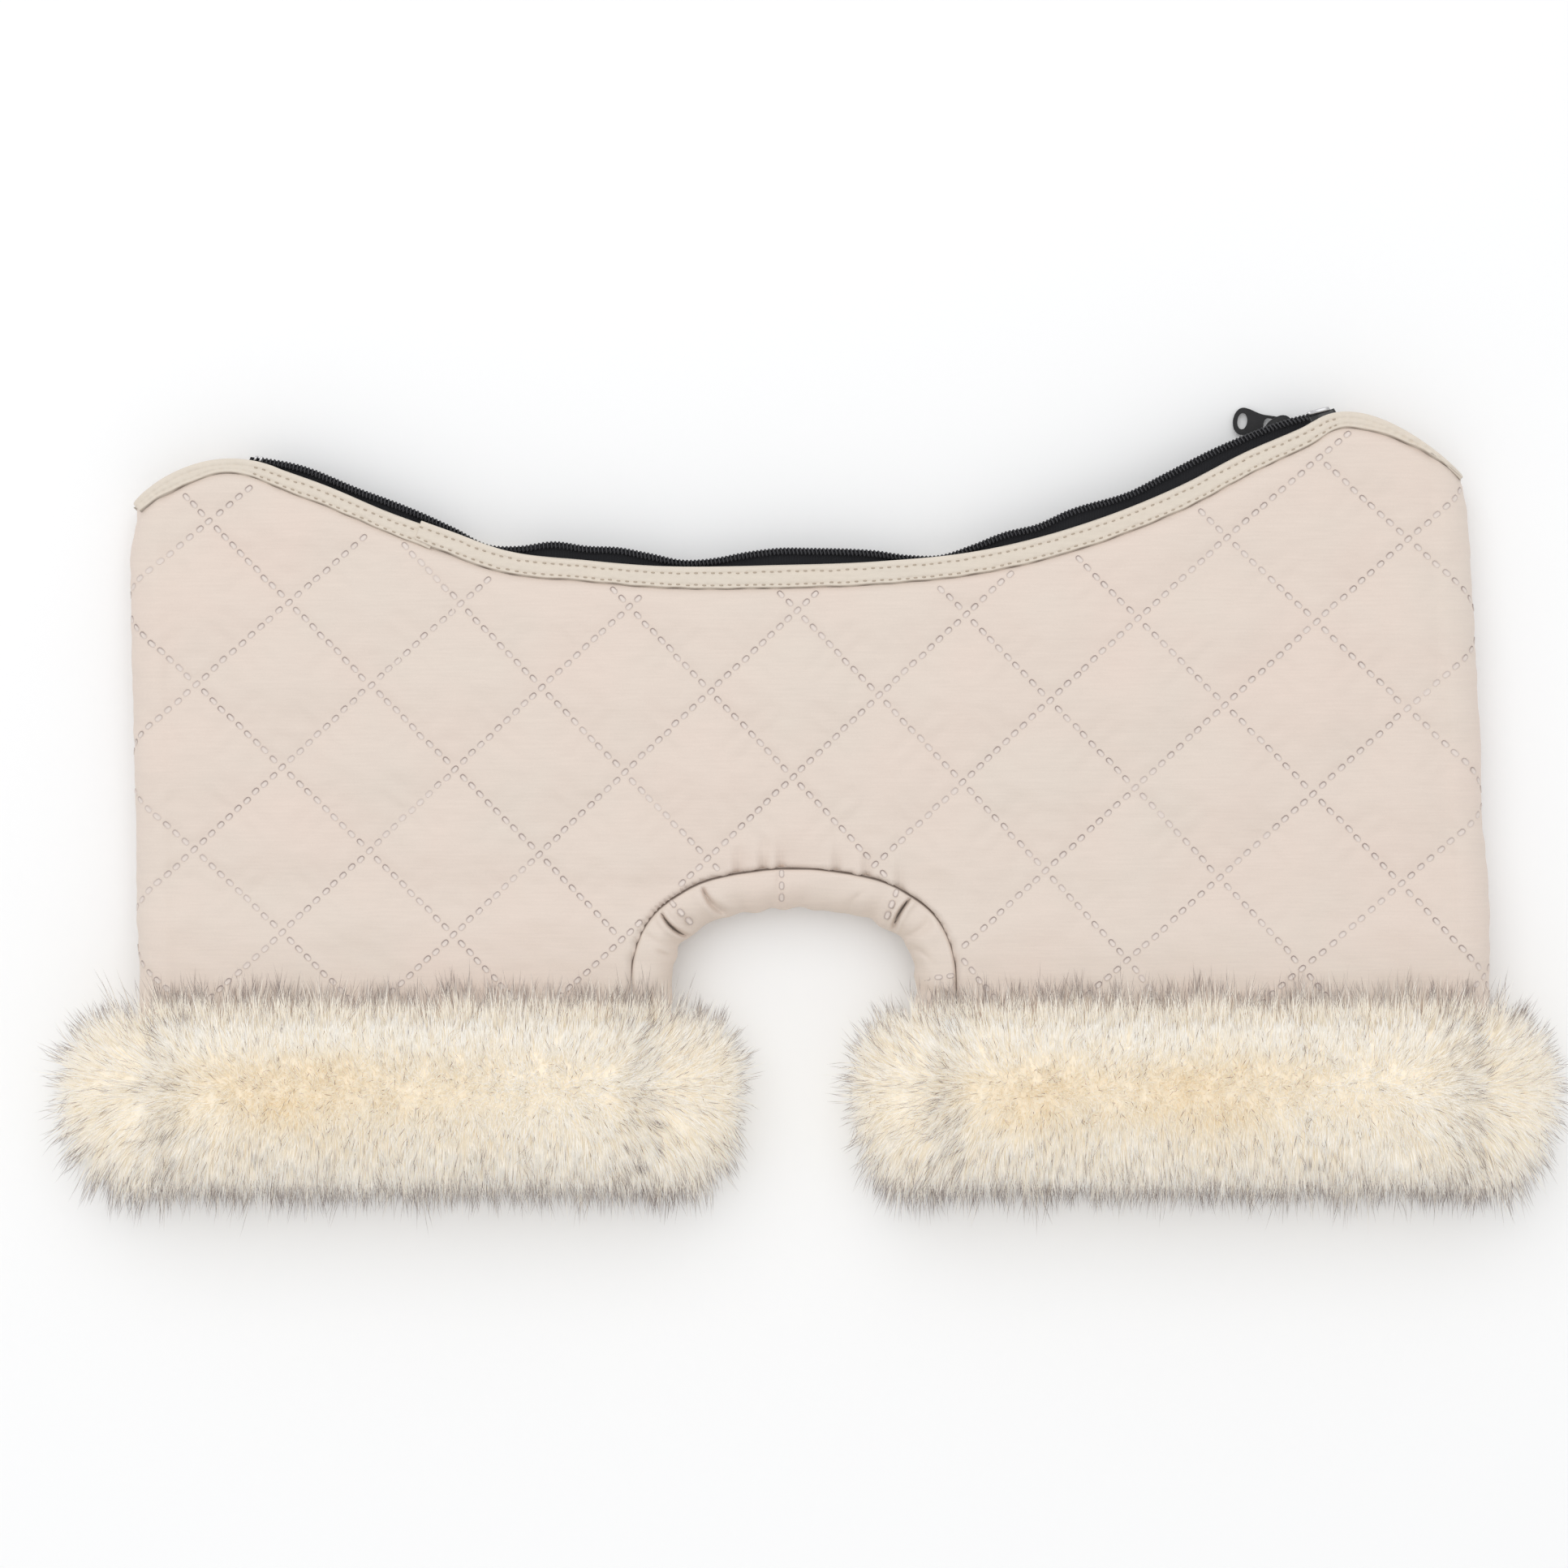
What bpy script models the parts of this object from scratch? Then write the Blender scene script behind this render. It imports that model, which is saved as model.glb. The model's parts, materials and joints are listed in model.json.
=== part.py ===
"""Stroller hand muff, lying flat on its back with its zipped mouth towards +Y.

Two quilted panels and two fleece linings make a flat sleeve with two legs.
A padded roll joins front to back round the arch between the legs, a folded
binding edges the mouth, an open-end coil zip is sewn inside the binding, and
each leg ends in a long-pile fur cuff. Metres, +Z up, +X along the mouth.
"""
import math

import bmesh
import bpy
import numpy as np
from mathutils import Matrix

# Fits and cutters
gap = 0.0003            # clearance between sewn or seated pieces
overrun = 0.020         # how far a cutter runs past what it cuts
weld_distance = 0.000001

# Plan of the body, seen from the front
body_width = 0.5076
shoulder_offset = -0.0017
shoulder_y = 0.1190
hem_flare = 0.0050
hem_offset = 0.0040
leg_end_y = -0.1210

# Mouth: a wide shallow arc that ends in two rounded corners
mouth_radius = 0.4355
mouth_low_x = -0.0205
mouth_low_y = 0.0912
left_corner_width = 0.0565
left_corner_drop = 0.0220
left_corner_mouth_handle = 0.0232
left_corner_side_handle = 0.0201
right_corner_width = 0.0562
right_corner_drop = 0.0295
right_corner_mouth_handle = 0.0155
right_corner_side_handle = 0.0216
back_mouth_drop = 0.0015
binding_width = 0.0100
lap_from_left_end = 0.0585

# Arch between the legs, measured on the seam of the padded roll
arch_width = 0.1236
arch_offset = -0.0037
arch_top_y = -0.0219
arch_corner_radius = 0.0420
roll_depth = 0.0155
roll_height = 0.0240

# Thickness of the layers, in the body, at the mouth and at the hem
body_thickness = 0.0300
channel_wall = 0.0040
puff_height = 0.0045
mouth_rest_height = 0.0024
mouth_wall = 0.0043
mouth_thickness = 0.0208
hem_rest_height = 0.0060
hem_wall = 0.0050
hem_thickness = 0.0240
lining_thickness = 0.0020
mouth_blend = 0.0500
hem_blend = 0.0270
hem_settle = 0.0210
puff_fade = 0.0200

# Diamond quilting
channel_pitch = 0.0459
quilt_turn_degrees = 44.0
quilt_centre_x = -0.0050
quilt_centre_y = 0.0105
front_puff_steps = 4
back_puff_steps = 3
puff_fullness = 0.6
pressed_crown_share = 0.75

# Fur cuffs
cuff_top_y = -0.0740
cuff_end_y = -0.1560
pile_top = 0.0235
pile_inner_side_left = 0.0295
pile_inner_side_right = 0.0265
pile_outer_side_left = 0.0345
pile_outer_side_right = 0.0285
pressed_share = 1.25
cuff_length_shares = (0.0, 0.3, 0.59, 0.62, 0.9, 1.0, 0.99, 0.9, 0.7, 0.4, 0.15, 0.04)
cuff_pile_shares = (0.0, 0.0, 0.0, 0.0, 0.0, 0.0, 0.3, 0.66, 0.92, 1.0, 0.86, 0.5)
cuff_turn_in_shares = (0.0, 0.0, 0.0, 1.0, 1.0, 0.4, 0.0, 0.0, 0.0, 0.0, 0.0, 0.0)

# Zip: coil size 5, one half on each side of the mouth. Places along it are
# lengths along the mouth's edge to or past the ends of its arc.
tape_thickness = 0.0006
tape_hidden_width = 0.0055
front_tape_shown = 0.0020
back_tape_shown = 0.0025
coil_width = 0.0030
coil_height = 0.0024
coil_on_tape = 0.0026
tape_past_left = 0.0145
coil_past_left = 0.0084
front_coil_to_right = 0.0026
front_film_past_right = 0.0107
back_coil_to_right = 0.0068
back_film_to_right = 0.0034
back_film_past_right = 0.0069
film_thickness = 0.0010
stop_length = 0.0018
stop_wall = 0.0005
pin_length = 0.0100
pin_wall = 0.0007
pin_depth = 0.0024
retainer_pin_length = 0.0085
retainer_pin_width = 0.0024
box_past_right = 0.0014
box_length = 0.0078
box_width = 0.0104
box_corner_radius = 0.0015
box_wall = 0.0008
box_slot_width = 0.0026

# Slider and pull
slider_to_right = 0.0129
slider_length = 0.0110
slider_width = 0.0116
slider_corner_radius = 0.0026
slider_off_tips = 0.0015
plate_thickness = 0.0012
flange_width = 0.0010
wedge_width = 0.0022
wedge_length = 0.0036
wedge_radius = 0.0010
bridge_width = 0.0012
bridge_post = 0.0010
bridge_span = 0.0028
bridge_beam = 0.00075
bridge_drop = 0.00165
pull_drop = 0.00085
pull_degrees = 172.0
pull_thickness = 0.0009
pull_bar = 0.0010
pull_eye_length = 0.0048
pull_eye_width = 0.0050
pull_eye_radius = 0.0018
pull_neck_width = 0.0072
pull_neck_radius = 0.0018
pull_length = 0.0171
pull_end_width = 0.0105
pull_hole_from_end = 0.0036
pull_hole_length = 0.0038
pull_hole_width = 0.0063

# Mesh counts
flat_columns = 9
fold_columns = 4
rows = 14
arc_steps = 40
corner_steps = 12
round_steps = 10
section_steps = 8
cuff_flat_steps = 7

FRONT = 1
BACK = -1


# Scene and materials

def clear_scene():
    for item in list(bpy.data.objects):
        bpy.data.objects.remove(item, do_unlink=True)


def new_collection(name):
    collection = bpy.data.collections.new(name)
    bpy.context.scene.collection.children.link(collection)
    return collection


def new_material(name, colour, roughness, metallic=0.0):
    material = bpy.data.materials.new(name)
    material.use_nodes = True
    shader = material.node_tree.nodes["Principled BSDF"]
    shader.inputs["Base Color"].default_value = (*colour, 1.0)
    shader.inputs["Roughness"].default_value = roughness
    shader.inputs["Metallic"].default_value = metallic
    return material


clear_scene()
parts = new_collection("stroller_hand_muff")
cutters = new_collection("cutters")

materials = {
    "quilting": new_material("quilted_fabric", (0.78, 0.69, 0.61), 0.80),
    "binding": new_material("binding_fabric", (0.76, 0.70, 0.60), 0.75),
    "lining": new_material("fleece", (0.86, 0.82, 0.75), 0.95),
    "fur": new_material("long_pile_fur", (0.91, 0.86, 0.75), 0.90),
    "tape": new_material("woven_tape", (0.018, 0.018, 0.020), 0.85),
    "coil": new_material("nylon_coil", (0.022, 0.022, 0.025), 0.45),
    "film": new_material("laminated_tape_end", (0.015, 0.015, 0.017), 0.35),
    "painted": new_material("black_painted_metal", (0.020, 0.020, 0.023), 0.40, 0.5),
    "metal": new_material("bright_metal", (0.72, 0.72, 0.73), 0.30, 1.0),
}


def link(obj, collection):
    for other in obj.users_collection:
        other.objects.unlink(obj)
    collection.objects.link(obj)
    return obj


def finish(obj, material, smooth_degrees=40.0):
    """A part: its collection, its own copy of the material, and soft shading."""
    link(obj, parts)
    own = materials[material].copy()
    own.name = obj.name
    obj.data.materials.clear()
    obj.data.materials.append(own)
    obj.data.shade_smooth()
    obj.data.set_sharp_from_angle(angle=math.radians(smooth_degrees))
    return obj


def as_cutter(obj):
    link(obj, cutters)
    obj.hide_render = True
    obj.display_type = "WIRE"
    return obj


def cut(obj, cutter, operation="DIFFERENCE"):
    modifier = obj.modifiers.new(cutter.name, "BOOLEAN")
    modifier.operation = operation
    modifier.solver = "EXACT"
    modifier.object = cutter
    return modifier


def object_from_bmesh(name, mesh_data):
    bmesh.ops.recalc_face_normals(mesh_data, faces=mesh_data.faces)
    mesh = bpy.data.meshes.new(name)
    mesh_data.to_mesh(mesh)
    mesh_data.free()
    return link(bpy.data.objects.new(name, mesh), parts)


def mesh_from_curve(name, curve_object):
    """Turn a filled curve into a mesh with welded caps, and drop the curve."""
    bpy.context.view_layer.update()
    depsgraph = bpy.context.evaluated_depsgraph_get()
    mesh = bpy.data.meshes.new_from_object(curve_object.evaluated_get(depsgraph))
    welded = bmesh.new()
    welded.from_mesh(mesh)
    bmesh.ops.remove_doubles(welded, verts=welded.verts, dist=weld_distance)
    bmesh.ops.recalc_face_normals(welded, faces=welded.faces)
    welded.to_mesh(mesh)
    welded.free()
    obj = bpy.data.objects.new(name, mesh)
    obj.matrix_world = curve_object.matrix_world
    bpy.data.objects.remove(curve_object, do_unlink=True)
    return link(obj, parts)


def plate(name, outlines, low, high):
    """A flat solid between two heights: closed outlines, the later ones holes."""
    curve = bpy.data.curves.new(name, "CURVE")
    curve.dimensions = "2D"
    curve.fill_mode = "BOTH"
    curve.extrude = (high - low) / 2
    for outline in outlines:
        spline = curve.splines.new("POLY")
        spline.points.add(len(outline) - 1)
        for point, (x, y) in zip(spline.points, outline):
            point.co = (x, y, 0.0, 1.0)
        spline.use_cyclic_u = True
    obj = link(bpy.data.objects.new(name + "_outline", curve), parts)
    obj.location.z = (low + high) / 2
    return mesh_from_curve(name, obj)


def rounded_outline(length, width, radius, end_width=None):
    """A rounded four-sided outline round the origin, long way along X."""
    end_width = width if end_width is None else end_width
    points = []
    for sx, sy, turn in ((1, 1, 0), (-1, 1, 90), (-1, -1, 180), (1, -1, 270)):
        half = (end_width if sx > 0 else width) / 2
        for step in range(section_steps + 1):
            angle = math.radians(turn + 90 * step / section_steps)
            points.append((sx * (length / 2 - radius) + radius * math.cos(angle),
                           sy * (half - radius) + radius * math.sin(angle)))
    return points


# Plan curves of the body

def smooth_step(value):
    value = np.clip(value, 0.0, 1.0)
    return value * value * (3.0 - 2.0 * value)


def share_down(y):
    """0 at the shoulders and 1 from just above the cuffs down."""
    return np.minimum((shoulder_y - y) / (shoulder_y - cuff_top_y - hem_settle), 1.0)


def centre_x(y):
    return shoulder_offset + (hem_offset - shoulder_offset) * share_down(y)


def half_width(y):
    return (body_width + hem_flare * share_down(y)) / 2


hem_width = body_width + hem_flare
mouth_centre_y = mouth_low_y + mouth_radius
left_reach = mouth_low_x - (shoulder_offset - body_width / 2) - left_corner_width
right_reach = shoulder_offset + body_width / 2 - right_corner_width - mouth_low_x
mouth_left_degrees = -math.degrees(math.asin(left_reach / mouth_radius))
mouth_right_degrees = math.degrees(math.asin(right_reach / mouth_radius))


def left_degrees(past):
    """Where a place lies that is this far past the left end of the mouth's arc."""
    return mouth_left_degrees - math.degrees(past / mouth_radius)


def right_degrees(past):
    return mouth_right_degrees + math.degrees(past / mouth_radius)


def arc_point(radius, degrees):
    """A point on a circle round the mouth's centre, 0 degrees straight down."""
    angle = np.radians(degrees)
    return (mouth_low_x + radius * np.sin(angle),
            mouth_centre_y - radius * np.cos(angle))


def bezier(start, first, second, end, steps):
    t = np.linspace(0.0, 1.0, steps + 1)[1:, None]
    a, b, c, d = (np.array(p) for p in (start, first, second, end))
    return (1 - t) ** 3 * a + 3 * (1 - t) ** 2 * t * b + 3 * (1 - t) * t * t * c + t ** 3 * d


left_corner_y = arc_point(mouth_radius, mouth_left_degrees)[1] - left_corner_drop
right_corner_y = arc_point(mouth_radius, mouth_right_degrees)[1] - right_corner_drop
cloth_high = max(left_corner_y + left_corner_drop, right_corner_y + right_corner_drop) + overrun
cloth_low = leg_end_y - overrun


def mouth_line(inset, drop):
    """The mouth's edge from left side to right side, moved inward by inset."""
    radius = mouth_radius + drop
    degrees = np.linspace(mouth_left_degrees, mouth_right_degrees, arc_steps + 1)
    arc = np.column_stack(arc_point(radius, degrees))
    ends = []
    for end, outward, side_y, mouth_handle, side_handle in (
            (arc[0], -1, left_corner_y - drop, left_corner_mouth_handle,
             left_corner_side_handle),
            (arc[-1], 1, right_corner_y - drop, right_corner_mouth_handle,
             right_corner_side_handle)):
        angle = math.radians(mouth_left_degrees if outward < 0 else mouth_right_degrees)
        side = np.array((centre_x(side_y) + outward * half_width(side_y), side_y))
        along = np.array((outward * math.cos(angle), outward * math.sin(angle)))
        first = end + mouth_handle * along
        second = side + np.array((0.0, side_handle))
        ends.append(bezier(end, first, second, side, corner_steps))
    line = np.concatenate((ends[0][::-1], arc, ends[1]))
    direction = np.gradient(line, axis=0)
    direction /= np.linalg.norm(direction, axis=1, keepdims=True)
    inward = np.column_stack((direction[:, 1], -direction[:, 0]))
    return line + inset * inward


def arch_line(inset):
    """The arch seam from the right leg over the top to the left leg."""
    half = arch_width / 2 - inset
    top = arch_top_y - inset
    radius = arch_corner_radius - inset
    points = [(arch_offset + half, cloth_low)]
    for turn, side in ((0, 1), (90, -1)):
        for step in range(round_steps + 1):
            angle = math.radians(turn + 90 * step / round_steps)
            points.append((arch_offset + side * (half - radius) + radius * math.cos(angle),
                           top - radius + radius * math.sin(angle)))
    points.append((arch_offset - half, cloth_low))
    return np.array(points)


def arch_distance(x, y):
    """How far a point lies outside the arch seam."""
    across = np.abs(x - arch_offset) - (arch_width / 2 - arch_corner_radius)
    up = y - (arch_top_y - arch_corner_radius)
    outside = np.hypot(np.maximum(across, 0.0), np.maximum(up, 0.0))
    return outside + np.minimum(np.maximum(across, up), 0.0) - arch_corner_radius


# Layers: heights that change smoothly from the body to the mouth and the hem

def zone_shares(x, y):
    """How much of the mouth's section and of the hem's section a place has."""
    from_mouth = np.hypot(x - mouth_low_x, y - mouth_centre_y) - mouth_radius
    inside = smooth_step((from_mouth - binding_width) / mouth_blend)
    inside *= smooth_step((left_corner_y - y) / mouth_blend)
    hem = smooth_step((cuff_top_y + hem_settle + hem_blend - y) / hem_blend)
    return 1.0 - inside, hem


def blended(x, y, body, mouth, hem):
    mouth_share, hem_share = zone_shares(x, y)
    return body + (mouth - body) * mouth_share + (hem - body) * hem_share


def low_level(x, y):
    return blended(x, y, puff_height, mouth_rest_height, hem_rest_height)


def high_level(x, y):
    return blended(x, y, body_thickness - puff_height,
                   mouth_rest_height + mouth_thickness, hem_rest_height + hem_thickness)


def wall_level(x, y):
    return blended(x, y, channel_wall, mouth_wall, hem_wall)


def middle_level(x, y):
    return (low_level(x, y) + high_level(x, y)) / 2


def fold_radius(x, y):
    return (high_level(x, y) - low_level(x, y)) / 2


def fold_places(side, y):
    """The flat half width and the fold radius of the section at y."""
    edge = centre_x(y) + side * half_width(y)
    mouth_share, hem_share = zone_shares(edge, y)
    inset = puff_height * (1.0 - mouth_share) * (1.0 - hem_share)
    radius = fold_radius(edge, y)
    return half_width(y) - inset - radius, radius


def wrap(s, y, depth, lift, face):
    """Roll a flat sheet round the body: s runs round the girth from its middle.

    Past the flat part the sheet follows a quarter circle to the side fold, and
    then runs straight on. depth lies inward from the channels and lift outward.
    """
    side = np.where(s < 0.0, -1.0, 1.0)
    flat, radius = fold_places(side, y)
    past = np.abs(s) - flat
    angle = np.clip(past / radius, 0.0, math.pi / 2)
    beyond = np.maximum(past - radius * math.pi / 2, 0.0)
    reach = np.minimum(np.abs(s), flat) + (radius - depth + lift) * np.sin(angle)
    x = centre_x(y) + side * reach
    height = (fold_radius(x, y) - depth + lift) * np.cos(angle) - beyond
    return np.column_stack((x, y, middle_level(x, y) + face * height))


def close_block(mesh_data, face):
    """Run the rim of an open sheet straight past the body and close it."""
    rim = [edge for edge in mesh_data.edges if edge.is_boundary]
    made = bmesh.ops.extrude_edge_only(mesh_data, edges=rim)["geom"]
    level = -hem_width if face == FRONT else body_thickness + hem_width
    for vertex in made:
        if isinstance(vertex, bmesh.types.BMVert):
            vertex.co.z = level
    bmesh.ops.holes_fill(mesh_data, edges=[e for e in mesh_data.edges if e.is_boundary])


def set_coordinates(mesh_data, coordinates):
    for vertex, place in zip(mesh_data.verts, coordinates):
        vertex.co = place


def smooth_block(name, face, depth_share, depth_extra, flanged):
    """Everything inside one smooth layer, as a closed block.

    The layer lies depth_share walls and depth_extra inward from the channels.
    A flanged block also takes all that lies past the middle of the side folds,
    so that front and back stay half a gap clear of it.
    """
    flat = np.linspace(-1.0, 1.0, flat_columns + 1)
    fold = np.linspace(0.0, 1.0, fold_columns + 1)[1:]
    flat_shares = np.concatenate((-np.ones(fold_columns + 1), flat, np.ones(fold_columns + 1)))
    fold_shares = np.concatenate((-fold[::-1][:1], -fold[::-1], 0.0 * flat, fold, fold[-1:]))
    columns = len(flat_shares) - 1
    sheet = bmesh.new()
    bmesh.ops.create_grid(sheet, x_segments=columns, y_segments=rows, size=1.0)
    places = np.array([vertex.co for vertex in sheet.verts])
    column = np.rint((places[:, 0] + 1.0) / 2.0 * columns).astype(int)
    y = cloth_low + (cloth_high - cloth_low) * (places[:, 1] + 1.0) / 2.0
    side = np.sign(flat_shares[column] + fold_shares[column])
    flat_width, radius = fold_places(side, y)
    s = flat_shares[column] * flat_width + fold_shares[column] * radius * math.pi / 2
    edge = (column == 0) | (column == columns)
    s = s + np.where(edge & (not flanged), side * overrun / 2, 0.0)
    depth = depth_share * wall_level(centre_x(y) + s, y) + depth_extra
    shape = wrap(s, y, depth, 0.0, face)
    if flanged:
        shape[:, 0] += np.where(edge, side * 2 * overrun, 0.0)
        shape[:, 2] += np.where(np.abs(fold_shares[column]) == 1.0, face * gap / 2, 0.0)
    set_coordinates(sheet, shape)
    close_block(sheet, face)
    return object_from_bmesh(name, sheet)


def quilted_block(name, face):
    """Everything inside a panel's quilted outer face, as a closed block.

    A grid turned to the channels' direction is trimmed to the girth, wrapped
    round the folds and raised between the channels by a rounded sine. The back's
    crowns are pressed flat where the muff lies on them.
    """
    steps = front_puff_steps if face == FRONT else back_puff_steps
    crown_share = 1.0 if face == FRONT else pressed_crown_share
    side_reach = hem_width / 2 + abs(hem_offset) + fold_radius(0.0, 0.0)
    cells = 2 * math.ceil(math.hypot(side_reach, cloth_high - cloth_low) / channel_pitch) + 2
    sheet = bmesh.new()
    bmesh.ops.create_grid(sheet, x_segments=cells * steps, y_segments=cells * steps,
                          size=cells * channel_pitch / 2)
    turn = Matrix.Rotation(math.radians(quilt_turn_degrees), 4, "Z")
    move = Matrix.Translation((quilt_centre_x, quilt_centre_y, 0.0))
    bmesh.ops.transform(sheet, matrix=move @ turn, verts=sheet.verts)
    for point, normal in (((side_reach, 0.0, 0.0), (1, 0, 0)),
                          ((-side_reach, 0.0, 0.0), (-1, 0, 0)),
                          ((0.0, cloth_high, 0.0), (0, 1, 0)),
                          ((0.0, cloth_low, 0.0), (0, -1, 0))):
        everything = list(sheet.verts) + list(sheet.edges) + list(sheet.faces)
        bmesh.ops.bisect_plane(sheet, geom=everything, plane_co=point, plane_no=normal,
                               clear_outer=True, dist=weld_distance)
    places = np.array([vertex.co for vertex in sheet.verts])
    s, y = places[:, 0], places[:, 1]
    angle = math.radians(quilt_turn_degrees)
    across = (s - quilt_centre_x) * math.cos(angle) + (y - quilt_centre_y) * math.sin(angle)
    along = (y - quilt_centre_y) * math.cos(angle) - (s - quilt_centre_x) * math.sin(angle)
    waves = np.sin(math.pi * across / channel_pitch) * np.sin(math.pi * along / channel_pitch)
    from_mouth = np.hypot(s - mouth_low_x, y - mouth_centre_y) - mouth_radius - binding_width
    fade = smooth_step(from_mouth / puff_fade) * smooth_step(arch_distance(s, y) / puff_fade)
    fade *= smooth_step((y - cuff_top_y - hem_settle) / puff_fade)
    rise = np.minimum(np.abs(waves) / crown_share, 1.0) ** puff_fullness
    shape = wrap(s, y, 0.0, puff_height * rise * fade, face)
    if face == BACK:
        shape[:, 2] = np.maximum(shape[:, 2], 0.0)
    set_coordinates(sheet, shape)
    close_block(sheet, face)
    return object_from_bmesh(name, sheet)


def panel_outline(inset, drop):
    """Plan of a panel inside the binding, with its arch and its two legs."""
    edge = mouth_line(inset, drop)
    far = hem_width / 2 + abs(hem_offset) + 2 * overrun
    arch = arch_line(-gap)
    arch[0, 1] = arch[-1, 1] = leg_end_y
    left = [(-far, leg_end_y), (-far, edge[0, 1] - gap), (edge[0, 0], edge[0, 1] - gap)]
    right = [(edge[-1, 0], edge[-1, 1] - gap), (far, edge[-1, 1] - gap), (far, leg_end_y)]
    return left + list(edge) + right + list(arch)


def binding_outline(drop, start_degrees, end_degrees):
    """Plan of a stretch of binding; the angles cut it, None runs to its end."""
    outer, inner = mouth_line(0.0, drop), mouth_line(binding_width, drop)
    degrees = np.degrees(np.arctan2(outer[:, 0] - mouth_low_x, mouth_centre_y - outer[:, 1]))
    keep = np.ones(len(outer), bool)
    radius = mouth_radius + drop
    ends_outer, ends_inner = [], []
    for limit, first in ((start_degrees, True), (end_degrees, False)):
        ends_outer.append([])
        ends_inner.append([])
        if limit is not None:
            keep &= degrees > limit if first else degrees < limit
            ends_outer[-1].append(arc_point(radius, limit))
            ends_inner[-1].append(arc_point(radius + binding_width, limit))
    outer = ends_outer[0] + list(outer[keep]) + ends_outer[1]
    inner = ends_inner[0] + list(inner[keep]) + ends_inner[1]
    return outer + inner[::-1]


def layer(name, face, outline, quilted, outer, inner, material):
    """One layer of cloth: between two smooth levels and inside an outline."""
    if quilted:
        obj = quilted_block(name, face)
    else:
        obj = smooth_block(name, face, outer[0], outer[1], False)
    inside = as_cutter(smooth_block(name + "_inside", face, inner[0], inner[1], True))
    top = body_thickness + 2 * overrun
    shape = as_cutter(plate(name + "_plan", [outline], -2 * overrun, top))
    cut(obj, shape, "INTERSECT")
    cut(obj, inside)
    return finish(obj, material)


# Quilted panels and their fleece lining, cut to the same plan

for face, name, drop in ((FRONT, "front", 0.0), (BACK, "back", back_mouth_drop)):
    plan = panel_outline(binding_width + gap, drop)
    layer("quilted_" + name, face, plan, True, None, (1.0, 0.0), "quilting")
    layer("lining_" + name, face, plan, False, (1.0, gap), (1.0, gap + lining_thickness), "lining")

# Binding, folded over the raw edges; the front one laps left of the middle

lap_start = left_degrees(-lap_from_left_end)
lap_gap = math.degrees(gap / mouth_radius)
for name, face, drop, first, last in (
        ("binding_front_left", FRONT, 0.0, None, lap_start - lap_gap),
        ("binding_front_right", FRONT, 0.0, lap_start, None),
        ("binding_back", BACK, back_mouth_drop, None, None)):
    layer(name, face, binding_outline(drop, first, last), False, (0.0, 0.0), (1.0, 0.0), "binding")


# Padded roll that closes the arch, a half-round section along the seam

def arch_roll():
    path = arch_line(0.0)
    path[0, 1] = path[-1, 1] = leg_end_y
    legs = np.linspace(leg_end_y, path[1, 1], round_steps)[:-1]
    right = np.column_stack((np.full(len(legs), path[0, 0]), legs))
    left = np.column_stack((np.full(len(legs), path[-1, 0]), legs[::-1]))
    path = np.concatenate((right, path[1:-1], left))
    profile = bpy.data.curves.new("roll_profile", "CURVE")
    profile.dimensions = "2D"
    spline = profile.splines.new("POLY")
    angles = np.radians(np.linspace(-90.0, 90.0, 2 * section_steps + 1))
    spline.points.add(len(angles) - 1)
    for point, angle in zip(spline.points, angles):
        point.co = (-roll_depth * math.cos(angle), roll_height / 2 * math.sin(angle), 0.0, 1.0)
    spline.use_cyclic_u = True
    profile_object = as_cutter(bpy.data.objects.new("roll_profile", profile))
    curve = bpy.data.curves.new("arch_roll", "CURVE")
    curve.dimensions = "3D"
    curve.twist_mode = "Z_UP"
    curve.bevel_mode = "OBJECT"
    curve.bevel_object = profile_object
    curve.use_fill_caps = True
    spline = curve.splines.new("POLY")
    spline.points.add(len(path) - 1)
    heights = middle_level(path[:, 0], path[:, 1])
    for point, (x, y), z in zip(spline.points, path, heights):
        point.co = (x, y, z, 1.0)
    obj = mesh_from_curve("arch_roll", link(bpy.data.objects.new("arch_roll_path", curve), parts))
    bpy.data.objects.remove(profile_object, do_unlink=True)
    return finish(obj, "quilting")


arch_roll()


# Fur cuffs: a ring of long pile round the end of each leg

def leg_section(left):
    """Points round a leg's hem and their outward directions."""
    inner = arch_offset + (-1 if left else 1) * (arch_width / 2 - roll_depth - gap)
    outer = centre_x(leg_end_y) + (-1 if left else 1) * half_width(leg_end_y)
    radius = hem_thickness / 2
    middle, half = (inner + outer) / 2, abs(outer - inner) / 2 - radius
    height = hem_rest_height + radius
    places, normals = [], []
    arc = np.radians(np.linspace(-90.0, 90.0, 2 * fold_columns + 1))
    for side in (1, -1):
        for angle in arc:
            normal = np.array((side * math.cos(angle), side * math.sin(angle)))
            places.append(np.array((middle + side * half, height)) + radius * normal)
            normals.append(normal)
        for share in np.linspace(1.0, -1.0, cuff_flat_steps + 1)[1:-1]:
            places.append(np.array((middle + side * half * share, height + side * radius)))
            normals.append(np.array((0.0, side)))
    return np.array(places), np.array(normals)


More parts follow.
